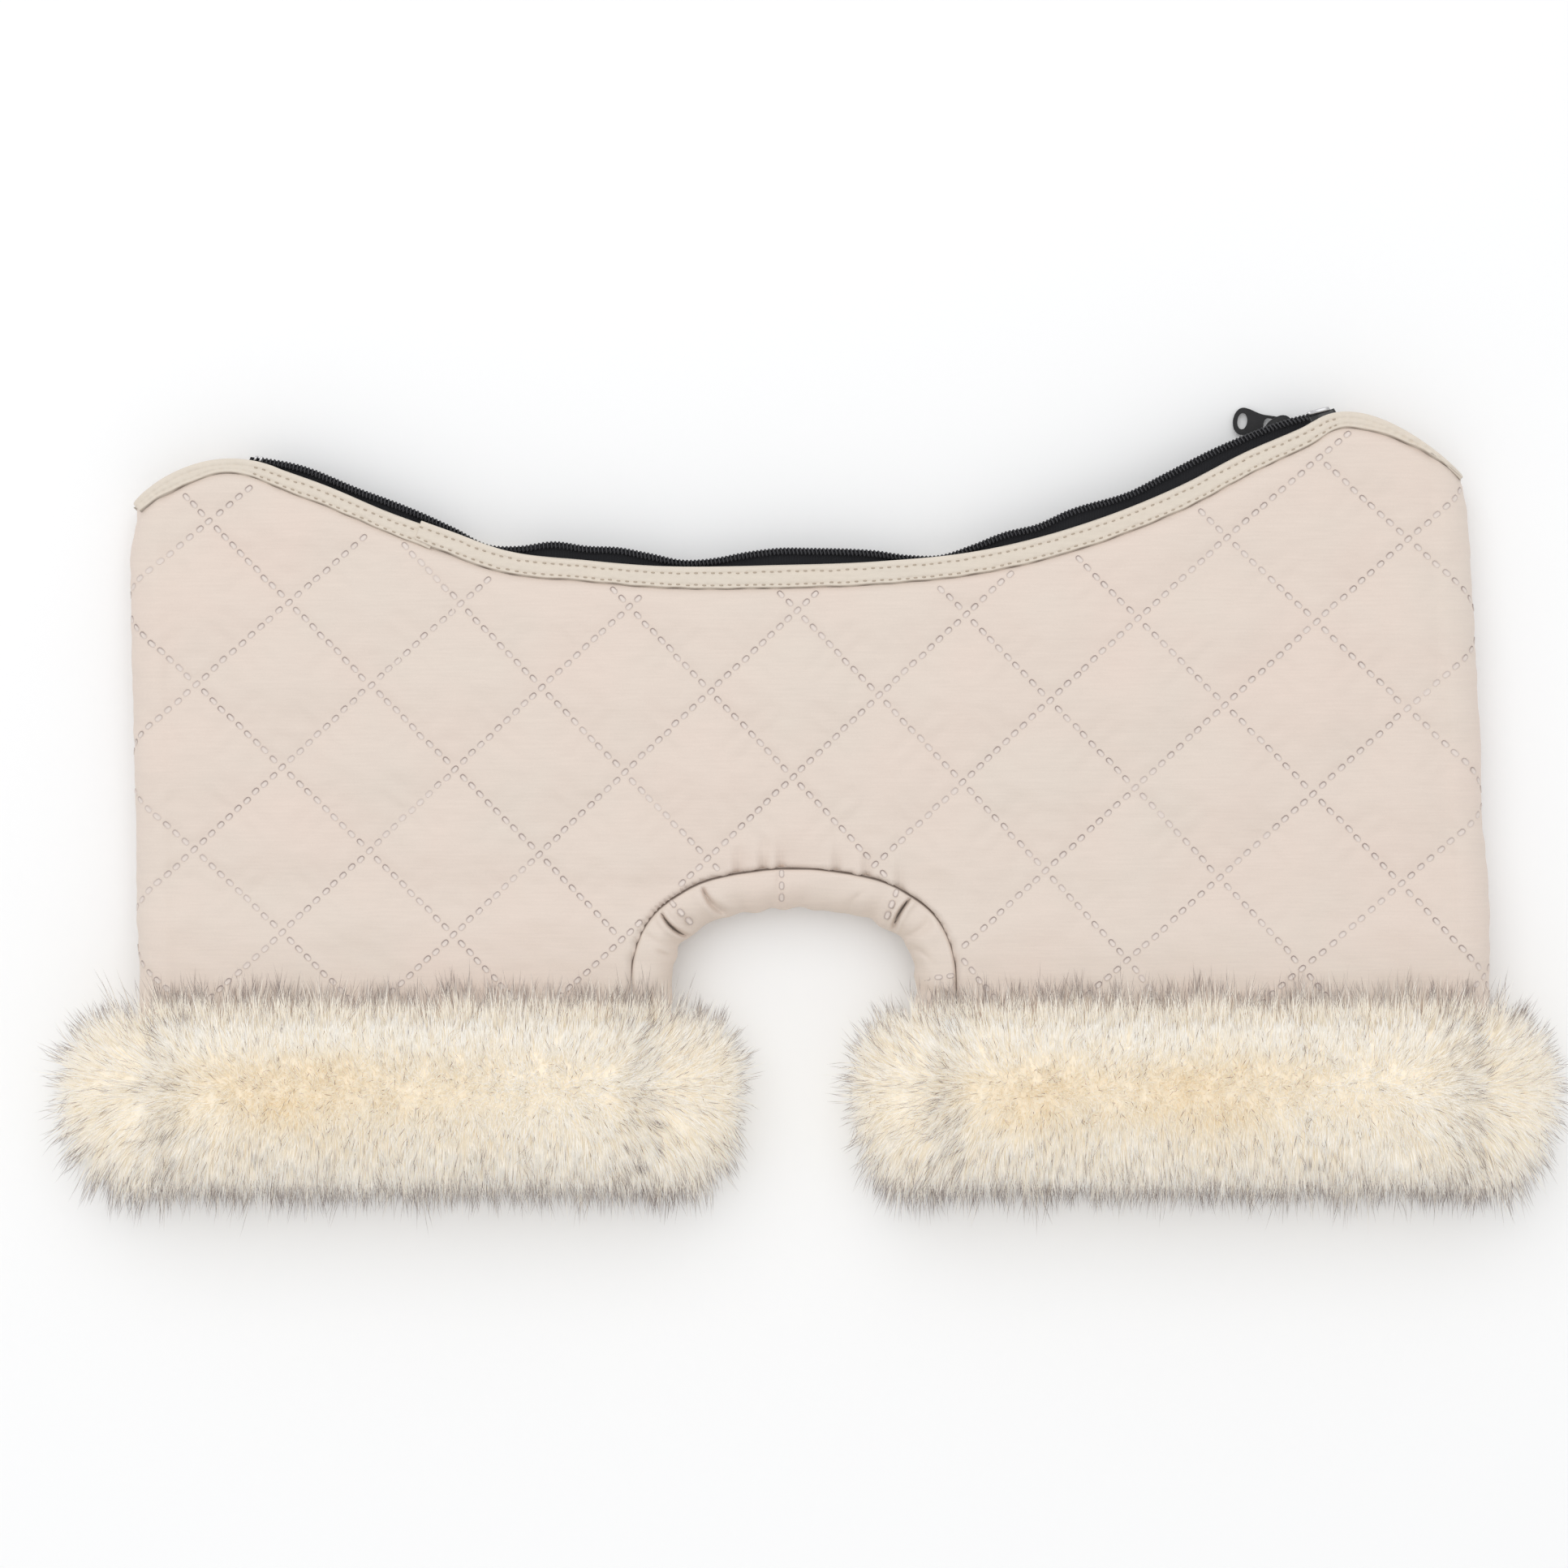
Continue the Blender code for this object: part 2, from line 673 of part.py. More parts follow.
def fur_cuff(name, left):
    places, normals = leg_section(left)
    around, rings = len(places), len(cuff_length_shares)
    bpy.ops.mesh.primitive_torus_add(major_segments=around, minor_segments=rings)
    obj = link(bpy.context.object, parts)
    obj.name = name
    outer_pile = pile_outer_side_left if left else pile_outer_side_right
    inner_pile = pile_inner_side_left if left else pile_inner_side_right
    outward = normals[:, 0] < 0.0 if left else normals[:, 0] > 0.0
    side_pile = np.where(outward, outer_pile, inner_pile)
    pile = np.column_stack((side_pile, np.where(normals[:, 1] > 0.0, pile_top, hem_rest_height)))
    clearance = gap / math.cos(math.pi / (4 * fold_columns))
    turn_in = hem_wall + lining_thickness
    coordinates = np.empty((around, rings, 3))
    for ring in range(rings):
        share = cuff_pile_shares[ring]
        pressed = np.where(normals[:, 1] < 0.0, min(pressed_share * share, 1.0), share)
        offset = pile * np.column_stack((np.full(around, share), pressed))
        offset = offset - turn_in * cuff_turn_in_shares[ring]
        if cuff_pile_shares[ring] == 0.0 and cuff_turn_in_shares[ring] == 0.0:
            offset = offset + clearance
        section = places + offset * normals
        y = cuff_top_y + (cuff_end_y - cuff_top_y) * cuff_length_shares[ring]
        coordinates[:, ring] = np.column_stack((section[:, 0], np.full(around, y), section[:, 1]))
    obj.data.vertices.foreach_set("co", coordinates.ravel())
    obj.data.update()
    turned = bmesh.new()
    turned.from_mesh(obj.data)
    bmesh.ops.recalc_face_normals(turned, faces=turned.faces)
    turned.to_mesh(obj.data)
    turned.free()
    return finish(obj, "fur", 60.0)


fur_cuff("fur_cuff_left", True)
fur_cuff("fur_cuff_right", False)


# Zip tapes and coils: flat strips along the mouth's arc

def arc_strip(name, inner, outer, first, last, low, high, material, steps):
    degrees = np.linspace(first, last, steps + 1)
    near = np.column_stack(arc_point(inner, degrees))
    far = np.column_stack(arc_point(outer, degrees[::-1]))
    return finish(plate(name, [list(near) + list(far)], low, high), material)


def place_on_arc(obj, radius, degrees, height, upright=False):
    """Set a piece at a place on the zip: its X towards the left end, its Y out.

    An upright piece is a profile drawn outward and up, and runs along the zip.
    """
    x, y = arc_point(radius, degrees)
    turn = Matrix.Rotation(math.pi + math.radians(degrees), 4, "Z")
    if upright:
        turn = turn @ Matrix(((0, 0, 1, 0), (1, 0, 0, 0), (0, 1, 0, 0), (0, 0, 0, 1)))
    obj.matrix_world = Matrix.Translation((x, y, height)) @ turn
    return obj


def clip(name, depth, wall, inside, length, radius, degrees, height, material):
    """A sheet-metal clip folded round the edge of a tape that is inside thick."""
    slot = inside / 2 + gap
    top, back = slot + wall, -gap - wall
    outline = [(back, -top), (depth, -top), (depth, -slot), (-gap, -slot),
               (-gap, slot), (depth, slot), (depth, top), (back, top)]
    obj = plate(name, [outline], -length / 2, length / 2)
    return finish(place_on_arc(obj, radius, degrees, height, True), material)


back_tape_low = mouth_rest_height + mouth_wall + gap
front_tape_low = mouth_rest_height + mouth_thickness - mouth_wall - gap - tape_thickness
back_coil_high = back_tape_low - gap
front_coil_low = front_tape_low + tape_thickness + gap
back_edge = mouth_radius + back_mouth_drop
front_tips = mouth_radius - front_tape_shown - coil_width
back_tips = back_edge - back_tape_shown - coil_width
tape_inset = coil_width - coil_on_tape
end_gap = math.degrees(gap / back_tips)
coil_left = left_degrees(coil_past_left)
front_coil_right = right_degrees(-front_coil_to_right)
back_coil_right = right_degrees(-back_coil_to_right)
back_film_left = right_degrees(-back_film_to_right)

for name, edge, tips, low, coil_low, tape_end, coil_end, film_start, film_end in (
        ("front", mouth_radius, front_tips, front_tape_low, front_coil_low, front_coil_right,
         front_coil_right, front_coil_right + end_gap, right_degrees(front_film_past_right)),
        ("back", back_edge, back_tips, back_tape_low, back_coil_high - coil_height,
         back_film_left - end_gap, back_coil_right, back_film_left,
         right_degrees(back_film_past_right))):
    hidden = edge + tape_hidden_width
    arc_strip("zip_tape_" + name, tips + tape_inset, hidden, left_degrees(tape_past_left), tape_end,
              low, low + tape_thickness, "tape", arc_steps)
    arc_strip("zip_coil_" + name, tips, tips + coil_width, coil_left, coil_end,
              coil_low, coil_low + coil_height, "coil", 2 * arc_steps)
    film_low = low if name == "back" else low + tape_thickness - film_thickness
    arc_strip("zip_end_film_" + name, tips + tape_inset, hidden, film_start, film_end,
              film_low, film_low + film_thickness, "film", section_steps)
    stop_degrees = coil_left - end_gap - math.degrees(stop_length / 2 / tips)
    clip("zip_top_stop_" + name, coil_on_tape, stop_wall, tape_thickness, stop_length,
         tips + tape_inset, stop_degrees, low + tape_thickness / 2, "metal")

pin_degrees = front_coil_right + end_gap + math.degrees(pin_length / 2 / front_tips)
clip("zip_insertion_pin", pin_depth, pin_wall, film_thickness, pin_length, front_tips + tape_inset,
     pin_degrees + end_gap, front_tape_low + tape_thickness - film_thickness / 2, "metal")

retainer_degrees = back_coil_right + end_gap
arc_strip("zip_retainer_pin", back_tips, back_tips + retainer_pin_width, retainer_degrees,
          retainer_degrees + math.degrees(retainer_pin_length / back_tips),
          back_coil_high - coil_height, back_coil_high, "metal", section_steps // 2)


# Slider levels, from the coil that runs in its channel

slider_degrees = right_degrees(-slider_to_right)
slider_radius = back_tips - slider_off_tips
channel_low = back_coil_high - coil_height - gap
channel_high = back_tape_low + tape_thickness + gap
slider_low = channel_low - plate_thickness
slider_high = channel_high + plate_thickness
coil_out = slider_off_tips + coil_width


def box_between(name, x0, x1, y0, y1, z0, z1):
    """A plain block given by its limits."""
    outline = [(x0, y0), (x1, y0), (x1, y1), (x0, y1)]
    return plate(name, [outline], z0, z1)


def on_slider_line(obj, degrees):
    """Keep a piece's own height and set it on the slider's path."""
    height = obj.location.z
    return place_on_arc(obj, slider_radius, degrees, height)


# Retainer box: moulded on the end of the back tape, open towards the slider

def retainer_box():
    outline = rounded_outline(box_length, box_width, box_corner_radius)
    box = plate("zip_retainer_box", [outline], slider_low + gap, slider_high + gap)
    half, reach = box_length / 2, box_width
    film_low = back_tape_low - gap
    film_high = back_tape_low + film_thickness + gap
    pin_near = slider_off_tips - gap
    slots = (
        ("box_film_slot", -reach, reach, pin_near, reach, film_low, film_high),
        ("box_pin_slot", box_wall - half, reach, pin_near,
         slider_off_tips + retainer_pin_width + gap, channel_low, film_high),
        ("box_insertion_slot", box_wall - half, reach, pin_near - box_wall - box_slot_width,
         pin_near - box_wall, channel_low, channel_high))
    degrees = right_degrees(box_past_right)
    for slot in slots:
        cut(box, as_cutter(on_slider_line(box_between(*slot), degrees)))
    return finish(on_slider_line(box, degrees), "painted")


retainer_box()


# Slider: two plates on a wedge, with flanges that hold the coil, and its bridge

zip_run_axis = link(bpy.data.objects.new("zip_run_axis", None), parts)
zip_run_axis.location = (mouth_low_x, mouth_centre_y, 0.0)
bpy.context.view_layer.update()


def on_axis(obj, axis):
    """Parent a moving piece to the empty on its joint's axis, in place."""
    bpy.context.view_layer.update()
    world = obj.matrix_world.copy()
    obj.parent = axis
    obj.matrix_parent_inverse = axis.matrix_world.inverted()
    obj.matrix_world = world
    return obj


def slider_body():
    outline = rounded_outline(slider_length, slider_width, slider_corner_radius)
    body = plate("zip_slider_body", [outline], slider_low, channel_low)
    half, rim = slider_length / 2, slider_width / 2
    wedge_x = half - wedge_length / 2 - flange_width / 2
    wedge = rounded_outline(wedge_length, wedge_width, wedge_radius)
    wedge = [(x + wedge_x, y) for x, y in wedge]
    flange_end = half - slider_corner_radius
    middle = plate_thickness / 2
    joined = (
        plate("slider_upper_plate", [outline], channel_high, slider_high),
        plate("slider_wedge", [wedge], channel_low - middle, channel_high + middle),
        box_between("slider_inner_flange", -flange_end, flange_end, -rim, flange_width - rim,
                    channel_low - middle, back_coil_high),
        box_between("slider_outer_flange", -flange_end, flange_end, coil_out + gap, rim,
                    channel_low - middle, back_coil_high))
    for piece in joined:
        cut(body, as_cutter(on_slider_line(piece, slider_degrees)), "UNION")
    on_slider_line(body, slider_degrees)
    return finish(on_axis(body, zip_run_axis), "painted")


def slider_bridge():
    """An arch under the lower plate that carries the pull's bar."""
    span, end = bridge_span / 2, bridge_span / 2 + bridge_post
    top, beam = slider_low - gap, slider_low - bridge_drop
    low = beam - bridge_beam
    outline = [(-end, low), (end, low), (end, top), (span, top), (span, beam),
               (-span, beam), (-span, top), (-end, top)]
    bridge = plate("zip_slider_bridge", [outline], -bridge_width / 2, bridge_width / 2)
    x, y = arc_point(slider_radius, slider_degrees)
    turn = Matrix.Rotation(math.pi + math.radians(slider_degrees), 4, "Z")
    stand = Matrix.Rotation(math.pi / 2, 4, "X")
    bridge.matrix_world = Matrix.Translation((x, y, 0.0)) @ turn @ stand
    return finish(on_axis(bridge, zip_run_axis), "painted")


def pull_outline():
    """Half widths along the pull: a neck that flares into a round end."""
    neck, wide = pull_neck_width / 2, pull_end_width / 2
    start, end = -pull_bar / 2, pull_length
    hole = end - pull_hole_from_end
    flare_start = pull_bar / 2 + pull_eye_length
    upper = []
    for step in range(section_steps + 1):
        angle = math.radians(180 - 90 * step / section_steps)
        upper.append((start + pull_neck_radius * (1 + math.cos(angle)),
                      neck - pull_neck_radius * (1 - math.sin(angle))))
    for share in np.linspace(0.0, 1.0, section_steps + 1):
        bulge = float(smooth_step(share))
        upper.append((flare_start + (hole - flare_start) * share, neck + (wide - neck) * bulge))
    for step in range(1, section_steps + 1):
        angle = math.radians(90 - 90 * step / section_steps)
        upper.append((hole + (end - hole) * math.cos(angle), wide * math.sin(angle)))
    lower = [(x, -y) for x, y in upper[::-1]][1:]
    return upper + lower


def zip_pull():
    eye = rounded_outline(pull_eye_length, pull_eye_width, pull_eye_radius)
    eye = [(x + pull_bar / 2 + pull_eye_length / 2, y) for x, y in eye]
    hole_x = pull_length - pull_hole_from_end
    hole = []
    for step in range(4 * section_steps):
        angle = 2 * math.pi * step / (4 * section_steps)
        hole.append((hole_x + pull_hole_length / 2 * math.cos(angle),
                     pull_hole_width / 2 * math.sin(angle)))
    pull = plate("zip_pull", [pull_outline(), eye, hole], -pull_thickness / 2, pull_thickness / 2)
    x, y = arc_point(slider_radius, slider_degrees)
    axis = link(bpy.data.objects.new("pull_swing_axis", None), parts)
    axis.location = (x, y, slider_low - pull_drop)
    axis.rotation_euler.z = math.radians(pull_degrees)
    on_axis(axis, zip_run_axis)
    bpy.context.view_layer.update()
    pull.matrix_world = axis.matrix_world
    return finish(on_axis(pull, axis), "painted")


slider_body()
slider_bridge()
zip_pull()
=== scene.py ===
"""Stroller hand muff: quilted sleeve, bound and zipped mouth, padded arch roll and long-pile cuffs."""
import json
import math

import bpy
import numpy as np
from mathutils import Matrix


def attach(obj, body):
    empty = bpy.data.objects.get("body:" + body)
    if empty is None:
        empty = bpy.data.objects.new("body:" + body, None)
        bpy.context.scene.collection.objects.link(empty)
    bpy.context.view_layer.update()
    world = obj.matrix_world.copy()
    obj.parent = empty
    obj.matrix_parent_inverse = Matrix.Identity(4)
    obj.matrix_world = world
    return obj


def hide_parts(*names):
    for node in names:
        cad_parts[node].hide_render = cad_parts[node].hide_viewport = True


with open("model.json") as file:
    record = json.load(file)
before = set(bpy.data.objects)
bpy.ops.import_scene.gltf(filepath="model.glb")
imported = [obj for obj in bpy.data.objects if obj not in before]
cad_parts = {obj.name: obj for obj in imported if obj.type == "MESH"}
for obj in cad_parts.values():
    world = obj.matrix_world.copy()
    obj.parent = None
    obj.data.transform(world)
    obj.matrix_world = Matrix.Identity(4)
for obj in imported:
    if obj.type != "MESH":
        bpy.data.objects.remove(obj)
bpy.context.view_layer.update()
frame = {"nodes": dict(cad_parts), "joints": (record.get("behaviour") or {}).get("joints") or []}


# Table, light and camera. The muff lies on its back on a white table under a wide
# soft light, a little stronger from beyond the mouth, and is seen from straight above.

class Wire:
    """A socket of a material: arithmetic on it adds Math nodes, new() adds any other node."""

    def __init__(self, tree, socket=None):
        self.tree = tree
        self.socket = socket

    def new(self, kind, settings=(), values=(), output=0):
        node = self.tree.nodes.new("ShaderNode" + kind)
        for name, setting in dict(settings).items():
            setattr(node, name, setting)
        for name, value in dict(values).items():
            if isinstance(value, Wire):
                self.tree.links.new(value.socket, node.inputs[name])
            else:
                node.inputs[name].default_value = value
        return Wire(self.tree, node.outputs[output])

    def maths(self, operation, *values):
        return self.new("Math", {"operation": operation}, dict(enumerate(values)))

    def mix(self, first, second):
        """The colour between two colours, where this wire is the share of the second."""
        first, second = (c if isinstance(c, Wire) else (*c, 1.0) for c in (first, second))
        return self.new("Mix", {"data_type": "RGBA"}, {0: self, 6: first, 7: second}, 2)

    def bump(self, distance, strength=1.0):
        return self.new("Bump", {}, {"Height": self, "Distance": distance, "Strength": strength})

    def output(self, number):
        """Another output of the node this wire comes from."""
        return Wire(self.tree, self.socket.node.outputs[number])

    def noise(self, scale, detail=2.0):
        """A soft random pattern in the object's own coordinates."""
        place = self.new("TexCoord", {}, {}, 3)
        return self.new("TexNoise", {}, {"Vector": place, "Scale": scale, "Detail": detail})

    def attribute(self, name):
        """A number that the points of the piece carry."""
        return self.new("Attribute", {"attribute_name": name}, {}, 2)

    def clamped(self):
        return self.new("Clamp", {}, {0: self})

    def __add__(self, other):
        return self.maths("ADD", self, other)

    def __sub__(self, other):
        return self.maths("SUBTRACT", self, other)

    def __rsub__(self, other):
        return self.maths("SUBTRACT", other, self)

    def __mul__(self, other):
        return self.maths("MULTIPLY", self, other)

    def __truediv__(self, other):
        return self.maths("DIVIDE", self, other)

    __radd__ = __add__
    __rmul__ = __mul__


def new_finish(name, colour, constants):
    """A material, its shader and a wire to build on, with its even values set on the shader."""
    finish = bpy.data.materials.new(name)
    finish.use_nodes = True
    shader = finish.node_tree.nodes["Principled BSDF"]
    shader.inputs["Base Color"].default_value = (*colour, 1.0)
    for socket, value in constants.items():
        shader.inputs[socket].default_value = value
    return finish, shader, Wire(finish.node_tree)


def feed(shader, **wires):
    """Link wires to the shader's sockets: Base_Color is the socket Base Color."""
    for name, wire in wires.items():
        wire.tree.links.new(wire.socket, shader.inputs[name.replace("_", " ")])


def new_object(name, data):
    """An object in the scene, from its mesh, lamp or camera."""
    thing = bpy.data.objects.new(name, data)
    bpy.context.scene.collection.objects.link(thing)
    return thing


view_centre = (-0.0074, 0.0099)
view_width = 0.597
view_level = 0.020
view_distance = 2.0
sensor_width = 36.0
camera_data = bpy.data.cameras.new("camera")
camera_data.sensor_width = sensor_width
camera_data.lens = sensor_width * view_distance / view_width
camera = new_object("camera", camera_data)
camera.location = (*view_centre, view_level + view_distance)
bpy.context.scene.camera = camera
bpy.context.scene.view_settings.view_transform = "Standard"

table_reach = 4.0
table_corners = [(x * table_reach, y * table_reach, 0) for x, y in ((-1, -1), (1, -1), (1, 1), (-1, 1))]
table_mesh = bpy.data.meshes.new("table")
table_mesh.from_pydata(table_corners, [], [(0, 1, 2, 3)])
table = new_object("table", table_mesh)
table_mesh.materials.append(new_finish("white_table", (0.965, 0.97, 0.975), {"Roughness": 0.9})[0])

world = bpy.data.worlds.new("light_tent")
bpy.context.scene.world = world
world.use_nodes = True
world.node_tree.nodes.clear()
tent = Wire(world.node_tree)
white = (1.0, 1.0, 1.0, 1.0)
tent_light = tent.new("Background", {}, {"Color": white, "Strength": 0.80})
tent_seen = tent.new("Background", {}, {"Color": white, "Strength": 1.0})
both = tent.new("MixShader", {}, {0: tent.new("LightPath"), 1: tent_light, 2: tent_seen})
world_output = world.node_tree.nodes.new("ShaderNodeOutputWorld")
world.node_tree.links.new(both.socket, world_output.inputs["Surface"])

lamp_left, lamp_beyond, lamp_height = 0.4, 0.9, 2.2
lamp_data = bpy.data.lights.new("soft_box", "AREA")
lamp_data.size = 2.6
lamp_data.energy = 20.0
lamp = new_object("soft_box", lamp_data)
lamp.location = (-lamp_left, lamp_beyond, lamp_height)
lamp.rotation_euler = (-math.atan2(lamp_beyond, lamp_height), 0.0, 0.0)


# Quilted panels. Front and back are beige polyester welded to wadding along diamond
# channels, and meet at the side folds. The puffs between the channels stand outward.

body_width = 0.5076
shoulder_offset = -0.0017
shoulder_y = 0.1190
hem_flare = 0.0050
hem_offset = 0.0040
cuff_hem_y = -0.0530
leg_end_y = -0.1210
mouth_radius = 0.4355
mouth_low_x, mouth_centre_y = frame["joints"][0]["pos_m"][:2]
left_corner_width = 0.0565
right_corner_width = 0.0562
corner_level_y = 0.1075
back_mouth_drop = 0.0015
arch_width = 0.1236
arch_offset = -0.0037
arch_top_y = -0.0219
arch_corner_radius = 0.0420

# The mouth's corners: side, how far each ends below the arc, how far the arc's own line carries
# on into its curve, and the curve's handle at the side.
corners = ((-1, 0.0125, 0.0232, (0.0140, 0.0142)), (1, 0.0218, 0.0155, (-0.0216, 0.0207)))
# Places along the mouth, how far the front edge is drawn in there, and how wide its binding shows.
edge_x = (-0.207, -0.182, -0.158, -0.133, -0.114, -0.083, -0.058, -0.009, 0.028, 0.065, 0.114,
          0.143, 0.170, 0.190)
edge_inset = (0.0004, -0.0013, -0.0002, 0.0006, 0.0024, 0.0006, -0.0002, -0.0019, -0.0007, 0.0013,
              0.0010, -0.0002, -0.0018, -0.0002)
shown_x = (-0.2555, -0.240, -0.2185, -0.199, -0.160, -0.130, -0.080, -0.010, 0.060, 0.120, 0.165,
           0.189, 0.200, 0.215, 0.225, 0.237, 0.247, 0.2555)
binding_shown = (0.0052, 0.0068, 0.0060, 0.0074, 0.0078, 0.0088, 0.0084, 0.0092, 0.0090, 0.0091,
                 0.0087, 0.0078, 0.0070, 0.0064, 0.0054, 0.0036, 0.0022, 0.0014)

body_thickness = 0.0300
puff_height = 0.0045
puff_seen = 0.0030
mouth_rest_height = 0.0024
mouth_thickness = 0.0208
hem_rest_height = 0.0060
hem_thickness = 0.0240
panel_wall = 0.0034
binding_width = 0.0100
mouth_blend = 0.0500
hem_blend = 0.0270
puff_fade = 0.0160
under_binding = 0.0019
fold_swell = 0.0012
fold_calm = 0.75
broad_wave = 0.00045
small_wave = 0.00016
wave_fade = 0.0100
beside_binding = 0.0006
seam_groove = 0.0034
gather_ridge = 0.0016
gather_dip = 0.0028
gather_reach = 0.0075
channel_pitch = 0.0459
# Cells along the two families of channels at a place: powers of s and y, and both amounts.
channel_terms = (
    (0, 0, 1.293, -0.091), (0, 1, -16.407, 14.764), (0, 2, 0.599, 2.023), (0, 3, -45.09, -15.59),
    (1, 0, 15.118, 16.112), (1, 1, 0.877, -3.470), (1, 2, 15.87, 31.09), (2, 0, -1.291, -0.476),
    (2, 1, 4.036, -0.918), (3, 0, -5.488, -9.526))
seam_gathers = (-0.0286, -0.0188, -0.0121, 0.0092, 0.0205, 0.0330)
steps_in_cell = 14
quilt_cells = 9
slack_share = 0.005
blow_pressure = 6.0
blow_frames = 30

FRONT = 1
BACK = -1


def smooth_step(value):
    value = np.clip(value, 0.0, 1.0)
    return value * value * (3.0 - 2.0 * value)


def bell(value):
    """One at zero, falling to nothing on both sides."""
    return np.exp(-value ** 2)


def through(places, values, at):
    """A smooth curve through chosen points: cubic pieces, each with its neighbours' slopes."""
    places, values = np.array(places), np.array(values)
    slopes = np.gradient(values, places)
    at = np.clip(at, places[0], places[-1])
    k = np.clip(np.searchsorted(places, at) - 1, 0, len(places) - 2)
    span = places[k + 1] - places[k]
    t = (at - places[k]) / span
    return ((2 * t ** 3 - 3 * t ** 2 + 1) * values[k] + (3 * t ** 2 - 2 * t ** 3) * values[k + 1]
            + span * ((t ** 3 - 2 * t ** 2 + t) * slopes[k] + (t ** 3 - t ** 2) * slopes[k + 1]))


def waves(seed, count, longest, *coordinates):
    """Soft random waves: a sum of sines in random directions, from the longest to a third of it."""
    source = np.random.default_rng(seed)
    total = 0.0
    for number in range(count):
        way = source.normal(size=len(coordinates))
        way *= 2 * math.pi * (1 + 2 * number / count) / longest / np.linalg.norm(way)
        along = sum(part * place for part, place in zip(way, coordinates))
        total = total + np.sin(along + source.uniform(0, 2 * math.pi))
    return total / math.sqrt(count / 2) / 1.5


def share_down(y):
    return np.minimum((shoulder_y - y) / (shoulder_y - cuff_hem_y), 1.0)


def centre_x(y):
    return shoulder_offset + (hem_offset - shoulder_offset) * share_down(y)


def half_width(y):
    return (body_width + hem_flare * share_down(y)) / 2


def arc_point(radius, degrees):
    """Places on a circle round the mouth's centre, 0 degrees straight down."""
    angle = np.radians(degrees)
    return mouth_low_x + radius * np.sin(angle), mouth_centre_y - radius * np.cos(angle)


left_reach = mouth_low_x - (shoulder_offset - body_width / 2) - left_corner_width
right_reach = shoulder_offset + body_width / 2 - right_corner_width - mouth_low_x
mouth_left = -math.degrees(math.asin(left_reach / mouth_radius))
mouth_right = math.degrees(math.asin(right_reach / mouth_radius))


def mouth_line(face):
    """The mouth's edge from side to side: a cubic corner, an arc drawn in by places, a corner."""
    drop = 0.0 if face == FRONT else back_mouth_drop
    degrees = np.linspace(mouth_left, mouth_right, 401)
    x = arc_point(mouth_radius, degrees)[0]
    inset = through(edge_x, edge_inset, x) if face == FRONT else 0.0
    arc = np.column_stack(arc_point(mouth_radius + drop + inset, degrees))
    t = np.linspace(0.0, 1.0, 81)[1:, None]
    ends = []
    for side, fall, reach, handle in corners:
        end = arc[0] if side < 0 else arc[-1]
        angle = math.radians(mouth_left if side < 0 else mouth_right)
        y = arc_point(mouth_radius, math.degrees(angle))[1] - fall - drop
        far = np.array((centre_x(y) + side * half_width(y), y))
        first = end + reach * side * np.array((math.cos(angle), math.sin(angle)))
        ends.append((1 - t) ** 3 * end + 3 * (1 - t) ** 2 * t * first
                    + 3 * (1 - t) * t * t * (far + np.array(handle)) + t ** 3 * far)
    return np.concatenate((ends[0][::-1], arc, ends[1]))


def run_along(line):
    return np.concatenate(([0.0], np.cumsum(np.linalg.norm(np.diff(line, axis=0), axis=1))))


def inward_of(line):
    """Unit directions square to a path that runs from left to right, towards its right hand."""
    direction = np.gradient(line, axis=0)
    direction /= np.linalg.norm(direction, axis=1, keepdims=True)
    return np.column_stack((direction[:, 1], -direction[:, 0]))


mouth_lines = {FRONT: mouth_line(FRONT), BACK: mouth_line(BACK)}


def from_edge(x, y, face):
    """How far a place lies inside the mouth's edge."""
    line = mouth_lines[face]
    slope = np.gradient(line[:, 1]) / np.gradient(line[:, 0])
    return ((np.interp(x, line[:, 0], line[:, 1]) - y)
            / np.hypot(1.0, np.interp(x, line[:, 0], slope)))


def arch_sag(x):
    """How far the seam hangs below a straight top on either side of its middle."""
    off = np.abs(x - arch_offset)
    return 0.0003 + 0.0025 * smooth_step((off - 0.004) / 0.026) * smooth_step((0.060 - off) / 0.018)


def arch_distance(x, y):
    """How far a place lies outside the arch seam, a rounded slot that is open downwards."""
    across = np.abs(x - arch_offset) - (arch_width / 2 - arch_corner_radius)
    up = y + arch_sag(x) - (arch_top_y - arch_corner_radius)
    outside = np.hypot(np.maximum(across, 0.0), np.maximum(up, 0.0))
    return outside + np.minimum(np.maximum(across, up), 0.0) - arch_corner_radius


def blended(x, y, body, mouth, hem):
    """A height that goes smoothly from the body's to the mouth's and to the hem's."""
    from_mouth = np.hypot(x - mouth_low_x, y - mouth_centre_y) - mouth_radius
    inside = smooth_step((from_mouth - binding_width) / mouth_blend)
    inside = inside * smooth_step((corner_level_y - y) / mouth_blend)
    hem_share = smooth_step((cuff_hem_y + hem_blend - y) / hem_blend)
    return body + (mouth - body) * (1.0 - inside) + (hem - body) * hem_share


def low_level(x, y):
    return blended(x, y, puff_height, mouth_rest_height, hem_rest_height)


def high_level(x, y):
    return blended(x, y, body_thickness - puff_height, mouth_rest_height + mouth_thickness,
                   hem_rest_height + hem_thickness)


def fold_places(side, y):
    """The flat half width and the radius of the side fold at y."""
    edge = centre_x(y) + side * half_width(y)
    radius = (high_level(edge, y) - low_level(edge, y)) / 2
    return half_width(y) - radius, radius


